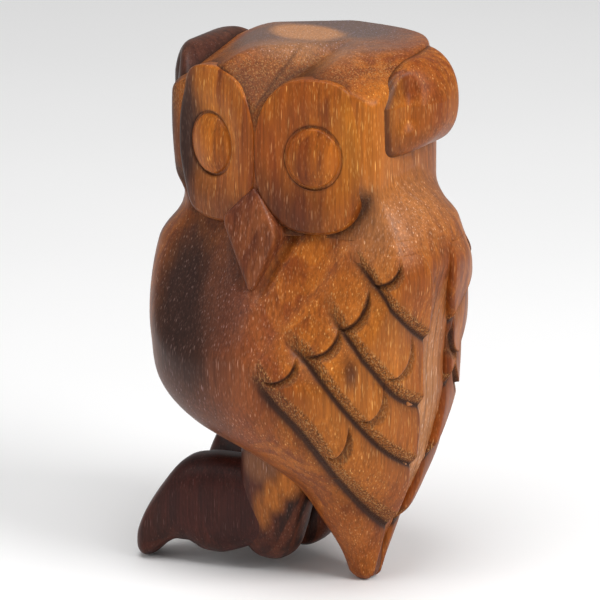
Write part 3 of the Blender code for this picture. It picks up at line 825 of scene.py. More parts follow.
def carved_wood(name, light, deep, zones=(), pores=1.0, cells=1200.0, tooled=False):
    """Oiled hardwood: the ground colour, its zones, fibres that lighten and darken it, long and short
    open pores filled with a brighter tone, tool marks where the piece has them, and painted shade, a
    near-black tone laid where the piece's attribute for it marks grooves, gouges, sockets and joins.
    Among the zones that pieces pass are painted shade and painted sheen. zones are (colour, strength,
    centre, reach, softness) in millimetres of the carver's own directions, and cells is how many pores
    could stand in a metre."""
    material = bpy.data.materials.new(name)
    material.use_nodes = True
    tree = material.node_tree
    shader = tree.nodes["Principled BSDF"]
    vector = add_node(tree, "ShaderNodeTexCoord").outputs["Object"]
    figure = use_group(tree, "figure", vector)
    fibre, cloud = figure.outputs["Fibre"], figure.outputs["Cloud"]
    colour = zoned(tree, vector, ground_colour(tree, figure, light, deep), zones)
    lightness = ramp(tree, fibre, 0.3, 0.7, 0.56, 1.14, easing="LINEAR")
    scaled = add_node(tree, "ShaderNodeVectorMath", operation="SCALE", in_0=colour, in_Scale=lightness)
    colour = scaled.outputs[0]
    long_pores = use_group(tree, "pores", vector, cells=cells).outputs[0]
    short_pores = use_group(
        tree, "pores", vector, cells=cells * 1.75, stretch=5.0, width=0.40, share=0.75
    ).outputs[0]
    filling = vector_calc(tree, "MULTIPLY", colour, (1.7, 2.8, 6.0))
    filling = vector_calc(tree, "ADD", filling, (0.10, 0.05, 0.018))
    colour = blend(tree, times(tree, long_pores, pores), colour, filling)
    colour = blend(tree, times(tree, short_pores, pores * 0.36), colour, filling)
    height = calc(tree, "MULTIPLY_ADD", fibre, 0.25, times(tree, long_pores, -0.8))
    rough = calc(tree, "MULTIPLY_ADD", cloud, 0.12, OIL_ROUGHNESS)
    rough = calc(tree, "MULTIPLY_ADD", fibre, 0.12, rough)
    if tooled:
        colour, height, rough = tool_marks(tree, vector, colour, height, rough)
    # Painted shade: near-black laid where the piece marks its grooves, gouges, sockets and joins, in place of
    # the shade that falls there.
    hollow = add_node(tree, "ShaderNodeAttribute", attribute_name="hollow").outputs["Fac"]
    colour = blend(tree, times(tree, hollow, 0.94), colour, rgba(PAINTED_SHADE_COLOUR))
    tree.links.new(colour, shader.inputs["Base Color"])
    tree.links.new(rough, shader.inputs["Roughness"])
    shader.inputs["Specular IOR Level"].default_value = WOOD_SPECULAR
    bump = add_node(tree, "ShaderNodeBump", in_Strength=0.55, in_Distance=BUMP_DEPTH, in_Height=height)
    tree.links.new(bump.outputs[0], shader.inputs["Normal"])
    return material


# ---------------------------------------------------------------- sizes and colours


class OwlSizes(bpy.types.PropertyGroup):
    """Sizes of the carving that a user would change."""

    groove_depth: bpy.props.FloatProperty(
        name="Groove depth",
        description="Depth of the cuts between feathers, against the usual depth",
        default=1.0,
        min=0.0,
        max=1.5,
    )
    strip_drop: bpy.props.FloatProperty(
        name="Tail strip drop",
        description="How far the tail strip lies below the wings",
        default=0.0017,
        min=0.0,
        unit="LENGTH",
    )
    eye_dome: bpy.props.FloatProperty(
        name="Eye dome",
        description="How far each eye stands out of its disc",
        default=0.0018,
        min=0.0,
        unit="LENGTH",
    )


class OwlColours(bpy.types.PropertyGroup):
    """Colours of the wood and of the floor."""

    light_wood: bpy.props.FloatVectorProperty(
        name="Light wood",
        description="Lighter stripes of the wood",
        subtype="COLOR",
        size=3,
        default=(0.44, 0.125, 0.014),
    )
    deep_wood: bpy.props.FloatVectorProperty(
        name="Deep wood",
        description="Darker stripes of the wood",
        subtype="COLOR",
        size=3,
        default=(0.20, 0.044, 0.007),
    )
    heart_wood: bpy.props.FloatVectorProperty(
        name="Heart wood",
        description="Near-black heart of the wood",
        subtype="COLOR",
        size=3,
        default=(0.034, 0.014, 0.010),
    )
    # Pale zones: partly pale, waxy wood and partly painted sheen and light on the upper and back surfaces.
    pale_wood_and_sheen: bpy.props.FloatVectorProperty(
        name="Pale wood",
        description="Pale, sanded wood",
        subtype="COLOR",
        size=3,
        default=(0.52, 0.225, 0.085),
    )
    floor: bpy.props.FloatVectorProperty(
        name="Floor",
        description="Colour of the floor",
        subtype="COLOR",
        size=3,
        default=(0.96, 0.96, 0.96),
    )


def sizes():
    """The scene's own sizes."""
    return bpy.context.scene.owl_sizes


def colours():
    """The scene's own colours."""
    return bpy.context.scene.owl_colours


def usual_wood():
    """Light and deep colour that most pieces share."""
    return colours().light_wood, colours().deep_wood


# ---------------------------------------------------------------- body

TORSO_TURNS = 420
TORSO_LEVELS = 190
TORSO_BOTTOM = 30.5
TORSO_SET_BACK = 4.0
WING_COLUMNS = 300
WING_ROWS = 290
WING_EDGE_RADIUS = 1.3
TAIL_COLUMNS = 90
TAIL_ROWS = 420
LINE_SPACING = 3.1


def front_angle(z):
    """Angle round the body's middle at which the wing's front edge lies, at each height."""
    centre, half_x, half_y, squareness = body_section(z)
    edge = ease_rows(WING_FRONT, z)[..., 0]
    share = np.clip((edge - centre) / half_y, -1, 1)
    x = half_x * (1 - np.abs(share) ** squareness) ** (1 / squareness)
    return np.arctan2(share * half_y, x)


def trailing_angle(z, rows):
    """Angle at which a wing's trailing edge lies, at each height."""
    _, half_x, half_y, squareness = body_section(z)
    x = np.minimum(ease_rows(rows, z)[..., 0], 0.8 * half_x)
    y = half_y * (1 - (x / half_x) ** squareness) ** (1 / squareness)
    return np.arctan2(y, x)


def build_torso():
    """Body from the underside of the belly to the neck, with a gouge down each side of the beak. Under
    the wings and the tail it is set back from the line of their edges, by up to TORSO_SET_BACK."""
    angle = np.linspace(0, 2 * math.pi, TORSO_TURNS, endpoint=False)[None, :]
    level = np.linspace(TORSO_BOTTOM, BODY_TOP + 1.0, TORSO_LEVELS)[:, None]
    points, centre, normal = block_grid(angle, level, wrap=True)
    z = points[..., 2]
    side = np.arctan2(np.sin(angle), np.abs(np.cos(angle)))
    radius = np.linalg.norm(points - centre, axis=-1)
    behind = (side - front_angle(level)) * radius
    height = shaping(points) - TORSO_SET_BACK * smooth(np.minimum(behind, WING_TOP - z), 0.35, 9.0)
    p, q = to_head(points[..., 0], points[..., 1])
    near_side = np.interp(z, (84, 88, 103), (3.5, 4.0, 9.5))
    near_gouge = np.exp(-(((p - near_side) / 2.2) ** 2)) * smooth(z, 82, 88) * smooth(112 - z, 0, 6)
    far_side = np.interp(z, (84, 104), (-2.0, -11.0))
    far_gouge = np.exp(-(((p - far_side) / 2.0) ** 2)) * smooth(z, 84, 90)
    height = height - (1.5 * near_gouge + 0.9 * far_gouge) * (q > 0)
    height = height - 0.3 * smooth(z, BODY_TOP - 0.1, BODY_TOP + 1.0)
    points = points + normal * height[..., None]
    wood = carved_wood("Torso wood", *usual_wood(), zones=block_zones(), tooled=True)
    # Painted shade in the gouges down each side of the beak.
    hollow = (0.75 * near_gouge + 0.5 * far_gouge) * (q > 0) * 0.6
    stand_for(skin("torso", points, wood, hollow=hollow), "torso")


def build_wing(side):
    """Wing over one flank: from the front edge, which melts into the torso, round to the trailing
    edge, which is a quarter circle of WING_EDGE_RADIUS."""
    u = np.linspace(0, 1, WING_COLUMNS)[None, :]
    low = 0.35 if side > 0 else 0.8
    z = (low + (WING_TOP - low) * np.linspace(0, 1, WING_ROWS) ** 1.02)[:, None]
    trailing = LEFT_TRAILING if side > 0 else RIGHT_TRAILING
    first, last = front_angle(z), trailing_angle(z, trailing)
    angle = first + (last - first) * u
    base, centre, normal = block_grid(angle if side > 0 else math.pi - angle, z)
    radius = np.linalg.norm(base - centre, axis=-1)
    from_front = (angle - first) * radius
    to_edge = (last - angle) * radius
    relief, rough, hollow = feathers(base, sizes().groove_depth)
    settle = smooth(from_front, 0, 3.5)
    edge = np.clip(1 - to_edge / WING_EDGE_RADIUS, 0, 1)
    rounding = WING_EDGE_RADIUS * (1 - np.sqrt(np.clip(1 - edge**2, 0, 1)))
    height = shaping(base) + relief * settle + OVERLAP - rounding + 0.5 * smooth(8 - to_edge, 0, 8)
    outer = base + normal * height[..., None]
    level = np.broadcast_to(z, angle.shape)
    thickness = np.minimum(7.0, 0.55 * np.minimum(*body_section(level)[1:3]))[..., None]
    zones = (
        *block_zones(),
        ((0.05, 0.016, 0.010), 0.8, (27 * side, 34, 68), (1.6, 2.4, 4.5), 0.8),
        ((0.50, 0.15, 0.025), 0.7, (11 * side, 25, 12), (5, 6, 8), 0.8),
        ((0.16, 0.045, 0.022), 0.6, (16 * side, 6, 36), (9, 9, 10), 0.8),
    )
    title = "Left wing wood" if side > 0 else "Right wing wood"
    wood = carved_wood(title, *usual_wood(), zones=zones, tooled=True)
    name = side_name(side, "wing")
    # Painted shade in the grooves and round the feather ends.
    marks = {"tooled": rough * settle, "hollow": hollow * settle}
    stand_for(shell(name, outer, base, normal, thickness, wood, **marks), name)


def build_tail():
    """Strip down the middle of the back, with long shallow lines: the crests of two waves across it,
    cut off below a level and turned down."""
    z = np.linspace(0.06, STRIP_TOP, TAIL_ROWS)[:, None]
    u = np.linspace(0, 1, TAIL_COLUMNS)[None, :]
    spread = smooth(z, 1.0, 6.0) * 0.14
    first = trailing_angle(z, LEFT_TRAILING) - spread
    last = math.pi - trailing_angle(z, RIGHT_TRAILING) + spread
    angle = first + (last - first) * u
    base, _, normal = block_grid(angle, z)
    level = np.broadcast_to(z, angle.shape)
    fade = smooth(STRIP_TOP - level, 1, 14)
    drop = sizes().strip_drop / MM * smooth(level, 3, 14) * fade - OVERLAP
    wander = 0.8 * np.sin(level * 0.05) + 0.4 * np.sin(level * 0.13 + 1.0)
    phase = (base[..., 0] + wander) * 2 * math.pi / LINE_SPACING
    lines = -0.12 * np.clip(np.cos(phase) - 0.72, 0, 1) / 0.28
    fine = -0.05 * np.clip(np.cos(phase * 2.3 + 1.7) - 0.6, 0, 1) / 0.4
    outer = base + normal * ((lines + fine) * fade - drop)[..., None]
    thickness = np.minimum(6.0, 0.5 * np.minimum(*body_section(level)[1:3]))[..., None]
    zones = (
        *block_zones(),
        # Pale zone down the back: partly pale, waxy wood and partly painted light and sheen on the back.
        (colours().pale_wood_and_sheen, 0.8, (0, 44, 46), (8, 14, 34), 0.5),
        ((0.13, 0.05, 0.03), 0.6, (0, 22, 2), (8, 9, 14), 0.6),
    )
    wood = carved_wood("Tail wood", *usual_wood(), zones=zones)
    # Painted shade in the shallow lines.
    hollow = np.clip(-lines * 2.4 - fine * 2, 0, 0.3) * fade
    stand_for(shell("tail", outer, base, normal, thickness, wood, loops=5, hollow=hollow), "tail")


# ---------------------------------------------------------------- head


HEAD_TURNS = 460
HEAD_LEVELS = 100
CROWN_RISES = 112
CROWN_START = 138.0


def build_head():
    """Head from the neck up: level rays up to CROWN_START, and above it rays from there that rise to
    the crown. Its lowest levels run on a little below the torso's top, just under its skin."""
    levels = np.linspace(BODY_TOP - 1.2, CROWN_START, HEAD_LEVELS)
    rise = np.radians(90) * np.linspace(0, 1, CROWN_RISES)[1:-1] ** 1.45
    z = np.concatenate([levels, np.full(len(rise), CROWN_START)])[:, None]
    lift = np.concatenate([np.zeros(len(levels)), rise])[:, None]
    angle = np.linspace(0, 2 * math.pi, HEAD_TURNS, endpoint=False)[None, :]
    angle, lift, z = np.broadcast_arrays(angle, lift, z)
    centre = from_head(np.zeros_like(z), np.full_like(z, -2.0), z)
    direction = np.stack([np.cos(lift) * np.cos(angle), np.cos(lift) * np.sin(angle), np.sin(lift)], axis=-1)
    points = walk_out(owl_field, centre, direction, WALK_REACH)
    proud = OVERLAP - 0.3 * smooth(BODY_TOP + 0.1 - points[..., 2], 0, 1.2)
    points = points + direction * proud[..., None]
    p, q = to_head(points[..., 0], points[..., 1])
    height = points[..., 2]
    across, _ = face_place(p, q)
    beyond = np.maximum(beyond_disc(across, height), 0)
    # Painted shade: in the fold between the brows, in a band under the discs' lower edges, and along their
    # upper edges where they meet the head.
    valley = np.abs(p - np.interp(q, (6.1, 28), (2.6, 0))) / 0.5
    fold = np.exp(-(valley**2)) * smooth(q, 4, 10) * smooth(height, 134, 137)
    under = np.exp(-beyond / 1.9) * smooth(118 - height, 0, 6) * smooth(q, 4, 9)
    above = np.exp(-beyond / 0.9) * smooth(height, 128, 134) * smooth(28 - across, 0, 4) * (q > 5)
    hollow = np.clip(0.5 * fold + 0.85 * under + 0.6 * above, 0, 0.9)
    lowest = 128 + 14 * smooth(p, 14, 24)
    slopes = smooth(q, -2, 6) * smooth(height, lowest, lowest + 5) * smooth(149.6 - height, 0, 3.5)
    tooled = 0.5 * np.maximum(slopes, under)
    pale = colours().pale_wood_and_sheen
    zones = (
        *block_zones(),
        # Crown: the three greyish zones are partly waxy residue and partly painted sheen, the grey of the
        # bright surround reflected from the upward-facing top and its far slope; the two pale zones are
        # painted light on the flat top, over pale wood.
        ((0.20, 0.115, 0.075), 0.85, (-8, -2, 152), (30, 28, 5.0), 0.5),
        ((0.13, 0.085, 0.07), 0.8, (-17, 2, 151), (11, 18, 6), 0.35),
        ((0.13, 0.075, 0.055), 0.7, (3, -15, 149), (10, 9, 5), 0.4),
        (pale, 0.85, (-5.7, -3.3, 150), (8, 10.5, 6), 0.25),
        (pale, 0.45, (10, 8, 149), (7, 12, 4), 0.6),
        ((0.50, 0.145, 0.014), 0.85, (11, 33, 130), (13, 9, 15), 0.5),
        ((0.15, 0.045, 0.016), 0.6, (20, 4, 143), (8, 12, 6), 0.7),
    )
    wood = carved_wood("Head wood", *usual_wood(), zones=zones, tooled=True)
    stand_for(skin("head", points, wood, hollow=hollow, tooled=tooled), "head")


def oval_ring(half_x, half_z, squareness, count):
    """Superellipse |x/a|^n + |z/b|^n = 1 at equal steps of its parameter."""
    t = np.linspace(0, 2 * math.pi, count, endpoint=False)
    power = 2 / squareness
    x = half_x * np.sign(np.cos(t)) * np.abs(np.cos(t)) ** power
    z = half_z * np.sign(np.sin(t)) * np.abs(np.sin(t)) ** power
    return t, x, z


def from_face(across, out, z, side):
    """Place on one facial disc to body directions."""
    p = side * (across * math.cos(FACE_TILT) + out * math.sin(FACE_TILT))
    q = NOSE_REACH - across * math.sin(FACE_TILT) + out * math.cos(FACE_TILT)
    return from_head(p, q, z)


# Share of the eye's outline, then growth and height of each ring of the socket's rim.
SOCKET_RINGS = (
    (0.90, 0.0, -1.4),
    (1.0, 0.10, -1.4),
    (1.0, 0.32, -1.35),
    (1.0, 0.50, -0.55),
    (1.0, 0.75, -0.20),
    (1.0, 1.10, -0.05),
)
DISC_POINTS = 560
DISC_RINGS = 90
DISC_BACK = -4.2
EYE_POINTS = 200
EYE_RINGS = 60
EYE_BACK = -2.5


def on_disc(rows, side):
    """Rings of (across, up, out), measured from the middle of a disc, to body directions."""
    return np.array([from_face(x + DISC_HALF_WIDTH, out, z + FACE_HEIGHT, side) for x, z, out in rows])


def build_disc(side):
    """Facial disc: rings from the rim of the eye's socket to the disc's outline, then over a rounded
    edge, whose radius depends on the direction, to the back. Between eye and outline it swells as the
    square of a sine."""
    t, edge_x, edge_z = oval_ring(DISC_HALF_WIDTH - 0.15, DISC_HALF_HEIGHT, DISC_SQUARENESS, DISC_POINTS)
    edge_x = edge_x - 0.9 * smooth(np.cos(t), 0.5, 0.95)
    _, eye_x, eye_z = oval_ring(EYE_HALF_WIDTH, EYE_HALF_HEIGHT, 2.0, DISC_POINTS)
    outer_side = smooth(np.cos(t), 0.35, 0.95)
    low_side = smooth(-np.sin(t), 0.1, 0.8)
    radius = 0.8 + (2.6 if side > 0 else 3.6) * outer_side + 0.9 * low_side
    length = np.hypot(eye_x, eye_z)
    rows = []
    for scale, grow, out in SOCKET_RINGS:
        wider = 1 + grow / length
        rows.append((eye_x * scale * wider, eye_z * scale * wider, np.full(DISC_POINTS, out)))
    inner_x, inner_z, _ = rows[-1]
    for s in np.linspace(0.02, 1, DISC_RINGS):
        share = s**0.9
        x = inner_x + (edge_x - inner_x) * share
        z = inner_z + (edge_z - inner_z) * share
        left = np.hypot(edge_x - x, edge_z - z)
        bend = np.clip(1 - left / radius, 0, 1)
        out = -radius * (1 - np.sqrt(np.clip(1 - bend**2, 0, 1)))
        out = out + 0.45 * np.sin(math.pi * np.clip(share, 0, 1)) ** 2 * (1 - outer_side * 0.4) - 0.05
        out = out - 0.9 * outer_side * smooth(share, 0.45, 1.0)
        rows.append((x, z, out))
    rows.append((edge_x, edge_z, np.full(DISC_POINTS, DISC_BACK)))
    points = on_disc(rows, side)
    # Painted shade in the eye's socket, darkest in its groove.
    hollow = np.zeros(points.shape[:2])
    hollow[1:4] = 0.9
    hollow[4] = 0.5
    hollow[5] = 0.15
    if side > 0:
        light = (0.46, 0.13, 0.012)
        zones = (
            # Painted shade low on the disc by the nose, where it falls into the valley beside the beak.
            ((0.10, 0.026, 0.010), 0.85, (26, 8, 106), (12, 15, 12), 0.7),
            # Painted light on the disc's outer side.
            ((0.55, 0.18, 0.016), 0.6, (20, 29, 128), (12, 5, 14), 0.7),
        )
    else:
        light = (0.56, 0.17, 0.018)
        zones = (
            (colours().heart_wood, 0.96, (22, -33, 121), (18, 16, 28), 0.35),
            # Painted shade low on the disc by the beak.
            ((0.14, 0.036, 0.012), 0.6, (26, -12, 105), (14, 16, 8), 0.6),
        )
    wood = carved_wood("Disc wood", light, colours().deep_wood, zones=zones)
    name = side_name(side, "face_disc")
    stand_for(skin(name, points, wood, hollow=hollow), name)


def build_eye(side):
    """Eye: a low dome, out = rise (1 - r^2), with a small rolled rim, on the disc's plane."""
    _, eye_x, eye_z = oval_ring(EYE_HALF_WIDTH, EYE_HALF_HEIGHT, 2.0, EYE_POINTS)
    rise = sizes().eye_dome / MM
    rows = []
    for s in np.sin(np.linspace(0.03, math.pi / 2, EYE_RINGS)):
        rim = np.clip((s - 0.93) / 0.07, 0, 1)
        rows.append((eye_x * s, eye_z * s, rise * (1 - s * s) - 0.05 - 0.5 * rim**2))
    rows.append((eye_x, eye_z, EYE_BACK))
    points = on_disc(rows, side)
    # Painted shade on the eye's rolled rim, where it meets the socket.
    hollow = np.zeros(points.shape[:2])
    hollow[-4:] = 0.6
    wood = carved_wood("Eye wood", (0.50, 0.14, 0.012), colours().deep_wood, cells=1100.0)
    name = side_name(side, "eye")
    stand_for(skin(name, points, wood, hollow=hollow), name)


def ball_rays(rows, columns):
    """Directions of a ball's grid, from just under one pole to just above the other."""
    rise = np.linspace(-math.pi / 2, math.pi / 2, rows + 2)[1:-1][:, None]
    turn = np.linspace(0, 2 * math.pi, columns, endpoint=False)[None, :]
    return np.stack(
        np.broadcast_arrays(np.cos(rise) * np.cos(turn), np.cos(rise) * np.sin(turn), np.sin(rise)), axis=-1
    )


# Planes of the beak: a point on each and its outward normal. The first is its face.
BEAK_PLANES = (
    ((0, 27.9, 113), (0.02, 1.0, 0.16)),
    ((0, 27, 115.5), (-1.0, 0.0, 0.95)),
    ((-9.3, 27, 104), (-1.9, 0.15, -1.0)),
    ((7.6, 27, 102.5), (2.9, 0.35, -1.0)),
    ((0, 27, 115.5), (1.0, 0.0, 0.62)),
)
BEAK_BACK = 13
BEAK_ROUNDING = 2.2
FEATURE_REACH = 30.0


def beak_field(points):
    """A flat-faced diamond: its face, cut by four sides with soft corners, and a flat back."""
    p, q = to_head(points[..., 0], points[..., 1])
    front, *sides = (plane(p, q, points[..., 2], through, normal) for through, normal in BEAK_PLANES)
    field = front
    for one in sides:
        field = soft_max(field, one, BEAK_ROUNDING)
    return soft_max(field, BEAK_BACK - q, 1.0)


def build_beak():
    """Beak, walked out from its middle."""
    centre = from_head(-0.5, 23.0, 100.0)
    points = walk_out(beak_field, centre, ball_rays(170, 260), FEATURE_REACH)
    wood = carved_wood("Beak wood", (0.26, 0.075, 0.022), (0.12, 0.030, 0.012))
    stand_for(skin("beak", points, wood), "beak")


def build_ear(side):
    """Ear: a lobe with an oval outline, a leaning front swept back with a scooped recess, and a plain
    back. A crease sets off its upper end, and its root stops behind the facial disc. Shade is painted
    where the ear meets the head."""
    middle = 135.8 if side > 0 else 133.8
    lean = 0.36 if side > 0 else 0.1

    def field(points):
        """Below 0 inside the ear."""
        p, q = to_head(points[..., 0], points[..., 1])
        p, z = p * side, points[..., 2]
        outline = section_distance(p, z, 29.4, middle, 12.5, 13.2, 2.2)
        across = 0.866 * p - 0.5 * q
        scoop = 1.5 * np.exp(-(((across - 27.5) / 2.6) ** 2)) * smooth(z, 129, 134) * smooth(146 - z, 0, 6)
        front = plane(p, q, np.maximum(z, 137), (33.0, 11.5, 139), (0.75, 0.55, lean)) + scoop
        back = (-15.5 + 0.3 * (p - 30) - q) / 1.05
        crease = plane(p, q, z, (29.0, 8.0, 144), (-0.8, 0.25, 0.55))
        root = np.maximum(q - 15.0, np.where(q > 2, 26.5 - p, -9.0))
        lobe = soft_max(soft_max(outline, front, 3.6), back, 3.0)
        return np.maximum(soft_max(lobe, crease, 5.0), root)

    centre = from_head(31.0 * side, -6.0, 136.0)
    points = walk_out(field, centre, ball_rays(230, 300), FEATURE_REACH)
    p, q = to_head(points[..., 0], points[..., 1])
    # Painted shade at the ear's root, where it meets the head.
    hollow = 0.8 * np.exp(-((head_field(p, q, points[..., 2]) / 1.1) ** 2))
    if side > 0:
        zones = (((0.22, 0.06, 0.014), 0.6, (2, 36, 124), (22, 12, 6), 0.6),)
        wood = carved_wood("Left ear wood", (0.50, 0.15, 0.016), colours().deep_wood, zones=zones)
    else:
        light, deep = (0.12, 0.042, 0.022), (0.05, 0.02, 0.012)
        zones = ((colours().heart_wood, 0.9, (-6, -44, 134), (24, 10, 26), 0.5),)
        wood = carved_wood("Right ear wood", light, deep, zones=zones, pores=0.4)
    name = side_name(side, "ear")
    stand_for(skin(name, points, wood, hollow=hollow), name)


# ---------------------------------------------------------------- legs and feet

LEFT_FOOT_SPLAY = math.radians(12)
RIGHT_FOOT_SPLAY = math.radians(0)
LEG_SPREAD = 10.5

# Height, middle across from the spread, front and back edge, half width of the leg's level sections.
LEG_ROWS = (
    (3.2, -3.2, -7.5, -2.5, 2.6),
    (4.2, -3.0, -9.5, -0.6, 4.6),
    (7.0, -2.2, -12.0, 2.4, 6.4),
    (12.0, -1.4, -13.0, 4.8, 7.8),
    (20.0, -0.6, -13.0, 7.4, 8.6),
    (30.0, 0.0, -12.0, 10.0, 9.2),
    (40.0, 0.0, -11.0, 12.0, 9.6),
    (50.0, 0.0, -10.0, 13.0, 9.6),
)

# Distance along the foot, height of its top and of its underside.
FOOT_ROWS = (
    (-2.0, 31.4, 9.0),
    (2.2, 32.2, 7.6),
    (7.0, 32.4, 5.6),
    (13.0, 32.4, 3.9),
    (17.5, 31.9, 4.3),
    (22.0, 30.6, 6.2),
    (25.0, 28.4, 6.2),
    (29.0, 23.4, 4.4),
    (33.0, 17.4, 0.9),
    (35.5, 12.8, 0.1),
    (37.5, 9.4, 0.6),
)


# Colour of the light ridges down each leg, the powers that square its sections and the foot's, and
# where along the foot the toe starts to close and over what length.
LEG_RIDGE = (0.50, 0.15, 0.02)
LEG_POWER = 0.82
FOOT_POWER = 2 / 2.7
TOE_START = 34
TOE_LENGTH = 3.92


def oval_section(half_x, half_z, turn, power):
    """Superellipse offsets, half * sign(cos) |cos|^power and the same with sin, row by row."""
    c, s = np.cos(turn), np.sin(turn)
    x = half_x[:, None] * np.sign(c) * np.abs(c) ** power
    return x, half_z[:, None] * np.sign(s) * np.abs(s) ** power


def build_leg(side):
    """Leg: oval level sections that lean back as they rise into the body."""
    z = np.concatenate([np.linspace(3.2, 7, 30), np.linspace(7.2, 50, 150)])
    middle, front, back, half = ease_rows(LEG_ROWS, z).T
    turn = np.linspace(0, 2 * math.pi, 220, endpoint=False)[None, :]
    x, y = oval_section(half, (back - front) / 2, turn, LEG_POWER)
    x = x + (middle + LEG_SPREAD)[:, None]
    y = ((front + back) / 2)[:, None] + y
    points = np.stack([x * side, y, np.broadcast_to(z[:, None], x.shape)], axis=-1)
    heart = colours().heart_wood
    zones = (
        ((0.26, 0.10, 0.04), 0.85, (19 * side, -1, 34), (9, 6, 5), 0.5),
        (LEG_RIDGE, 0.9, (19 * side, 6.5, 29.5), (8, 2.8, 5), 0.5),
        (LEG_RIDGE, 0.85, (19 * side, 2.5, 25), (8, 2.8, 5), 0.5),
        (LEG_RIDGE, 0.6, (19 * side, -1.5, 20), (8, 2.6, 5), 0.6),
    )
    wood = carved_wood("Leg wood", (0.13, 0.034, 0.014), [0.5 * v for v in heart], zones=zones, pores=0.6)
    name = side_name(side, "leg")
    stand_for(skin(name, points, wood), name)


def build_foot(side):
    """Foot: along it the top falls to the toe and the sole rises into two arches. Its upright sections
    close over the toe as a quarter circle, and the right foot's top has one more rise."""
    places = np.linspace(-2.0, 37.5, 300)
    tops, soles = ease_rows(FOOT_ROWS, places).T
    heading = LEFT_FOOT_SPLAY if side > 0 else RIGHT_FOOT_SPLAY
    start = np.array([LEG_SPREAD * side, -6.0])
    ahead = np.array([math.sin(heading), -math.cos(heading)])
    across = np.array([math.cos(heading), math.sin(heading)])
    toe = TOE_START + 3.9 * np.sin(np.linspace(0.02, math.pi / 2, 50))
    along = np.concatenate([np.linspace(-2, TOE_START, 190), toe])
    turn = np.linspace(0, 2 * math.pi, 200, endpoint=False)[None, :]
    top, sole = np.interp(along, places, tops), np.interp(along, places, soles)
    if side < 0:
        top = top + 7.0 * np.exp(-(((along - 28.0) / 4.5) ** 2))
    close = np.sqrt(np.clip(1 - np.clip((along - TOE_START) / TOE_LENGTH, 0, 1) ** 2, 0.0004, 1))
    half_z = (top - sole) / 2 * (0.35 + 0.65 * close)
    half_x = (8.0 - 1.2 * smooth(along, 20, 38)) * close
    middle = (top + sole) / 2 * (0.9 + 0.1 * close)
    x, z = oval_section(half_x, half_z, turn, FOOT_POWER)
    place = start + along[:, None, None] * ahead + x[..., None] * across
    points = np.stack([place[..., 0], place[..., 1], middle[:, None] + z], axis=-1)
    wood = carved_wood("Foot wood", (0.085, 0.021, 0.012), colours().heart_wood, pores=0.3)
    name = side_name(side, "foot")
    stand_for(skin(name, points, wood), name)


# ---------------------------------------------------------------- stage

CAMERA_AZIMUTH = math.radians(125)
CAMERA_ELEVATION = math.radians(16.5)
CAMERA_DISTANCE = 1.5
CAMERA_LENS = 328.5

# How far above the owl's middle height, and to the left of its axis, the camera aims.
AIM_RISE = 1.18
AIM_LEFT = 1.37
FLOOR_HALF = 4.0
WORLD_STRENGTH = 0.40

# Azimuth and elevation in degrees, distance and size in metres, power in watts.
SOFT_BOXES = (
    ("key light", 176, 40, 1.1, 0.5, 6.6),
    ("fill light", 60, 28, 1.3, 0.6, 1.6),
    ("top light", 110, 74, 1.2, 0.8, 7.6),
)


def place_around(obj, azimuth, elevation, distance, aim):
    """Puts a camera or light on a ball round the aim point, turned to face it."""
    back = np.array(
        [
            math.sin(azimuth) * math.cos(elevation),
            -math.cos(azimuth) * math.cos(elevation),
            math.sin(elevation),
        ]
    )
    obj.location = np.asarray(aim) + back * distance
    obj.rotation_euler = (math.pi / 2 - elevation, 0, azimuth)
    bpy.context.scene.collection.objects.link(obj)


def add_camera():
    """Camera aimed a little above and beside the middle of the owl. Gives back the point it aims at."""
    data = bpy.data.cameras.new("camera")
    data.lens = CAMERA_LENS
    data.sensor_width = 36
    data.clip_end = 20
    right = np.array([math.cos(CAMERA_AZIMUTH), math.sin(CAMERA_AZIMUTH), 0])
    aim = to_frame(np.array([0.0, 0.0, HEAD_TOP / 2 + AIM_RISE])) - right * AIM_LEFT * MM
    camera = bpy.data.objects.new("camera", data)
    place_around(camera, CAMERA_AZIMUTH, CAMERA_ELEVATION, CAMERA_DISTANCE, aim)
    bpy.context.scene.camera = camera
    return aim


def add_soft_box(aim, name, azimuth, elevation, distance, size, power):
    """Round area light that faces the aim point."""
    data = bpy.data.lights.new(name, "AREA")
    data.shape = "DISK"
    data.size = size
    data.energy = power
    light = bpy.data.objects.new(name, data)
    place_around(light, math.radians(azimuth), math.radians(elevation), distance, aim)


def add_floor():
    """Matt pale floor with a very faint mottle."""
    material = bpy.data.materials.new("Pale floor")
    material.use_nodes = True
    tree = material.node_tree
    shader = tree.nodes["Principled BSDF"]
    vector = add_node(tree, "ShaderNodeTexCoord").outputs["Object"]
    shade = noise(tree, vector, 6.0, 2.0)
    pale = colours().floor
    mixed = blend(tree, ramp(tree, shade, 0.3, 0.7), rgba(pale), rgba([v * 0.985 for v in pale]))
    tree.links.new(mixed, shader.inputs["Base Color"])
    shader.inputs["Roughness"].default_value = 0.9
    shader.inputs["Specular IOR Level"].default_value = 0.1
    mesh = bpy.data.meshes.new("floor")
    corners = [(x * FLOOR_HALF, y * FLOOR_HALF, 0) for x, y in ((-1, -1), (1, -1), (1, 1), (-1, 1))]
    mesh.from_pydata(corners, [], [(0, 1, 2, 3)])
    mesh.materials.append(material)
    floor = bpy.data.objects.new("floor", mesh)
    bpy.context.scene.collection.objects.link(floor)


def build_stage():
    """Floor, camera, three soft lights and an even white surround."""
    scene = bpy.context.scene
    aim = add_camera()
    add_floor()
    for box in SOFT_BOXES:
        add_soft_box(aim, *box)
    world = bpy.data.worlds.new("studio")
    world.use_nodes = True
    background = world.node_tree.nodes["Background"]
    background.inputs["Color"].default_value = (1, 1, 1, 1)
    background.inputs["Strength"].default_value = WORLD_STRENGTH
    scene.world = world
    scene.view_settings.view_transform = "Standard"


# ---------------------------------------------------------------- operators and panel


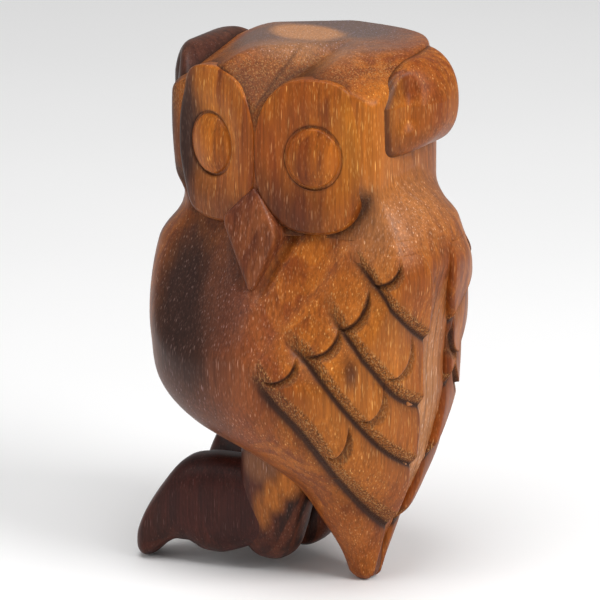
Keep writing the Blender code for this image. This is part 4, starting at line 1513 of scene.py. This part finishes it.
class OWL_OT_torso(bpy.types.Operator):
    """Carve the torso"""

    bl_idname = "owl.torso"
    bl_label = "Torso"
    bl_options = {"REGISTER", "UNDO"}

    def execute(self, context):
        build_torso()
        return {"FINISHED"}


class OWL_OT_wings(bpy.types.Operator):
    """Carve both wings with their feathers"""

    bl_idname = "owl.wings"
    bl_label = "Wings"
    bl_options = {"REGISTER", "UNDO"}

    def execute(self, context):
        build_wing(1)
        build_wing(-1)
        return {"FINISHED"}


class OWL_OT_tail(bpy.types.Operator):
    """Carve the tail strip down the back"""

    bl_idname = "owl.tail"
    bl_label = "Tail"
    bl_options = {"REGISTER", "UNDO"}

    def execute(self, context):
        build_tail()
        return {"FINISHED"}


class OWL_OT_head(bpy.types.Operator):
    """Carve the turned head"""

    bl_idname = "owl.head"
    bl_label = "Head"
    bl_options = {"REGISTER", "UNDO"}

    def execute(self, context):
        build_head()
        return {"FINISHED"}


class OWL_OT_face(bpy.types.Operator):
    """Carve both facial discs and both eyes"""

    bl_idname = "owl.face"
    bl_label = "Face discs and eyes"
    bl_options = {"REGISTER", "UNDO"}

    def execute(self, context):
        for side in (1, -1):
            build_disc(side)
            build_eye(side)
        return {"FINISHED"}


class OWL_OT_beak(bpy.types.Operator):
    """Carve the beak"""

    bl_idname = "owl.beak"
    bl_label = "Beak"
    bl_options = {"REGISTER", "UNDO"}

    def execute(self, context):
        build_beak()
        return {"FINISHED"}


class OWL_OT_ears(bpy.types.Operator):
    """Carve both ears"""

    bl_idname = "owl.ears"
    bl_label = "Ears"
    bl_options = {"REGISTER", "UNDO"}

    def execute(self, context):
        build_ear(1)
        build_ear(-1)
        return {"FINISHED"}


class OWL_OT_legs(bpy.types.Operator):
    """Carve both legs and both feet"""

    bl_idname = "owl.legs"
    bl_label = "Legs and feet"
    bl_options = {"REGISTER", "UNDO"}

    def execute(self, context):
        for side in (1, -1):
            build_leg(side)
            build_foot(side)
        return {"FINISHED"}


class OWL_OT_stage(bpy.types.Operator):
    """Set the floor, the camera and the lights"""

    bl_idname = "owl.stage"
    bl_label = "Stage"
    bl_options = {"REGISTER", "UNDO"}

    def execute(self, context):
        build_stage()
        return {"FINISHED"}


OPERATORS = (
    OWL_OT_torso,
    OWL_OT_wings,
    OWL_OT_tail,
    OWL_OT_head,
    OWL_OT_face,
    OWL_OT_beak,
    OWL_OT_ears,
    OWL_OT_legs,
    OWL_OT_stage,
)


class OWL_PT_panel(bpy.types.Panel):
    """Lists the steps of the carving"""

    bl_idname = "OWL_PT_panel"
    bl_label = "Carved owl"
    bl_space_type = "VIEW_3D"
    bl_region_type = "UI"
    bl_category = "Owl"

    def draw(self, context):
        scene = context.scene
        for name in ("groove_depth", "strip_drop", "eye_dome"):
            self.layout.prop(scene.owl_sizes, name)
        for name in ("light_wood", "deep_wood", "heart_wood", "pale_wood_and_sheen", "floor"):
            self.layout.prop(scene.owl_colours, name)
        for operator in OPERATORS:
            self.layout.operator(operator.bl_idname)


CLASSES = (OwlSizes, OwlColours, *OPERATORS, OWL_PT_panel)


def register():
    """Registers the classes and gives each scene its sizes and colours."""
    for one in CLASSES:
        bpy.utils.register_class(one)
    bpy.types.Scene.owl_sizes = bpy.props.PointerProperty(type=OwlSizes)
    bpy.types.Scene.owl_colours = bpy.props.PointerProperty(type=OwlColours)


def unregister():
    """Takes the classes away again, in reverse order."""
    del bpy.types.Scene.owl_colours
    del bpy.types.Scene.owl_sizes
    for one in reversed(CLASSES):
        bpy.utils.unregister_class(one)


def main():
    """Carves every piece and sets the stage."""
    register()
    bpy.ops.owl.torso()
    bpy.ops.owl.wings()
    bpy.ops.owl.tail()
    bpy.ops.owl.head()
    bpy.ops.owl.face()
    bpy.ops.owl.beak()
    bpy.ops.owl.ears()
    bpy.ops.owl.legs()
    bpy.ops.owl.stage()


if __name__ == "__main__":
    main()
